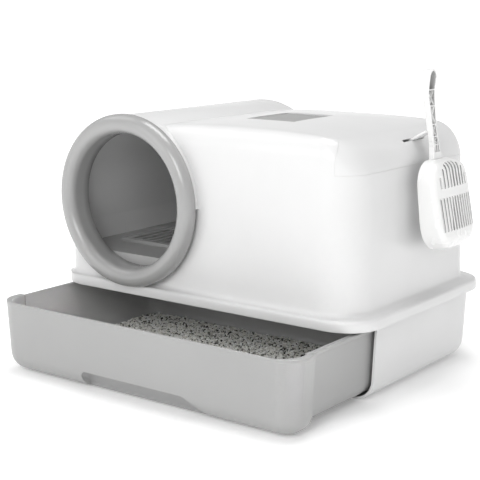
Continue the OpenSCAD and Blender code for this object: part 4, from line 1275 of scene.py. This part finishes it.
WHITE = plastic("white_moulding", (0.672, 0.672, 0.672), 0.34, 0.25)
WHITE_GLOSS_PAINTED_SHADE = plastic("white_gloss_painted_shade_moulding", (0.78, 0.78, 0.775), 0.26, 0.3)
# Painted shade on the marked insides of the scoop
paint_marked_light_and_shade(WHITE_GLOSS_PAINTED_SHADE, 0.3)
GREY = plastic("grey_moulding", GREY_TONE, 0.38, 0.15)
GREY_GLOSS = plastic("grey_gloss_moulding", GREY_TONE, 0.24, 0.4)
# The drawer's grey carries painted shade in the finger recess and painted light on its inner walls
GREY_DRAWER_PAINTED_LIGHT_SHADE = plastic("grey_drawer_painted_light_and_shade_moulding", GREY_TONE, 0.38, 0.15)
# Painted shade in the finger recess under the drawer's front panel
painted_shade_box(GREY_DRAWER_PAINTED_LIGHT_SHADE, 0.29, ("X", -101.0, -97.0), ("X", 118.0, 84.0), ("Y", -312.8, -310.5),
            ("Y", -286.0, -290.0), ("Z", 28.5, 27.0))
# Painted light: the drawer's marked inner walls a paler grey than its outside
paint_marked_light_and_shade(GREY_DRAWER_PAINTED_LIGHT_SHADE, 0.5)
GREY_MATT = plastic("grey_matt_moulding", GREY_TONE, 0.6)
set_inputs(GREY_MATT.node_tree.nodes["Principled BSDF"], Specular_IOR_Level=0.2)
LITTER = litter_material()
RUBBER = plastic("foot_rubber", (0.05, 0.05, 0.052), 0.7, 0.0, 0.35, 30.0)
STEEL = steel_material()
CARBON = carbon_material()


# ---- pieces whose construction shape already is the right one ----

KEPT_PIECES = {
    "base_feet": RUBBER,
    "ring_lock": GREY,
    "tunnel_tray": GREY,
    "tray_screws": STEEL,
    "partition_wall": GREY,
    "partition_screws": STEEL,
    "sand_grate": GREY_GLOSS,
    "lid_pin_left": STEEL,
    "lid_pin_right": STEEL,
    "filter_box": GREY,
    "carbon_filter": CARBON,
    "cover_pin": STEEL,
}


def dress_kept_pieces():
    for name, material in KEPT_PIECES.items():
        slots = nodes[name].data.materials
        slots.clear()
        slots.append(material)


# ---- camera, floor and lights ----


def make_camera():
    camera = link(bpy.data.objects.new("camera", bpy.data.cameras.new("camera")))
    camera.location = (1.03906, -1.46593, 0.53612)
    camera.rotation_euler = (math.radians(90 - 11.40), 0, math.radians(36.83))
    camera.data.sensor_width = 36
    camera.data.lens = 90.93
    camera.data.clip_end = 500
    bpy.context.scene.camera = camera


def make_floor():
    """A white floor, which glows more the farther it lies from the box."""
    deselect()
    bpy.ops.mesh.primitive_plane_add(size=600)
    floor = bpy.context.object
    floor.name = "floor"
    material, tree, skin = node_tree("floor_paper")
    set_inputs(skin, Base_Color=(0.93, 0.93, 0.93, 1), Roughness=0.8, Emission_Color=(1, 1, 1, 1))
    reach = add(tree, "VectorMath", [(0, spot_of(tree))], "LENGTH")
    glow = add(tree, "MapRange", [("Value", reach.outputs["Value"])], From_Min=0.3, From_Max=1.2,
               To_Min=0.15, To_Max=0.66)
    tree.links.new(glow.outputs["Result"], skin.inputs["Emission Strength"])
    floor.data.materials.append(material)


def make_sky():
    """An even white sky, brightest along the horizon."""
    world = bpy.data.worlds.new("studio")
    world.use_nodes = True
    tree = world.node_tree
    sky = tree.nodes["Background"]
    sky.inputs["Color"].default_value = (1, 1, 1, 1)
    split = add(tree, "SeparateXYZ", [("Vector", spot_of(tree, "Generated"))])
    band = add(tree, "MapRange", [("Value", split.outputs["Z"])], From_Min=0.08, From_Max=0.3,
               To_Min=1.05, To_Max=0.42)
    tree.links.new(band.outputs["Result"], sky.inputs["Strength"])
    bpy.context.scene.world = world


def area_light(name, place_at, aim, size, power, spread=180):
    """A square light; its size is the side of the square."""
    light = link(bpy.data.objects.new(name, bpy.data.lights.new(name, "AREA")))
    light.data.shape = "RECTANGLE"
    light.data.size = light.data.size_y = size
    light.data.energy = power
    light.data.spread = math.radians(spread)
    light.location = place_at
    light.rotation_euler = (Vector(aim) - Vector(place_at)).to_track_quat("-Z", "Y").to_euler()


def make_lights():
    bpy.context.scene.view_settings.view_transform = "Standard"
    make_sky()
    area_light("key", (0.95, -2.3, 1.45), (0, -0.1, 0.15), 1.2, 26.5)
    area_light("left_front", (-0.9, -2.3, 1.1), (0, -0.1, 0.15), 1.2, 7.5)
    area_light("overhead", (0.0, 0.2, 2.6), (0, 0, 0.2), 1.4, 36)
    area_light("left_high", (-1.6, -0.6, 2.0), (0, -0.1, 0.2), 1.2, 6)
    area_light("drawer_kicker", (1.9, -0.42, 0.45), (-0.25, -0.26, 0.06), 0.15, 0.035, 8)


make_camera()
make_floor()
make_lights()
make_hood(WHITE)
make_lid(WHITE)
make_ring(GREY_GLOSS)
make_base(WHITE)
make_drawer(GREY_DRAWER_PAINTED_LIGHT_SHADE)
make_litter(LITTER)
make_scoop(WHITE_GLOSS_PAINTED_SHADE)
make_cover(GREY_MATT)
dress_kept_pieces()
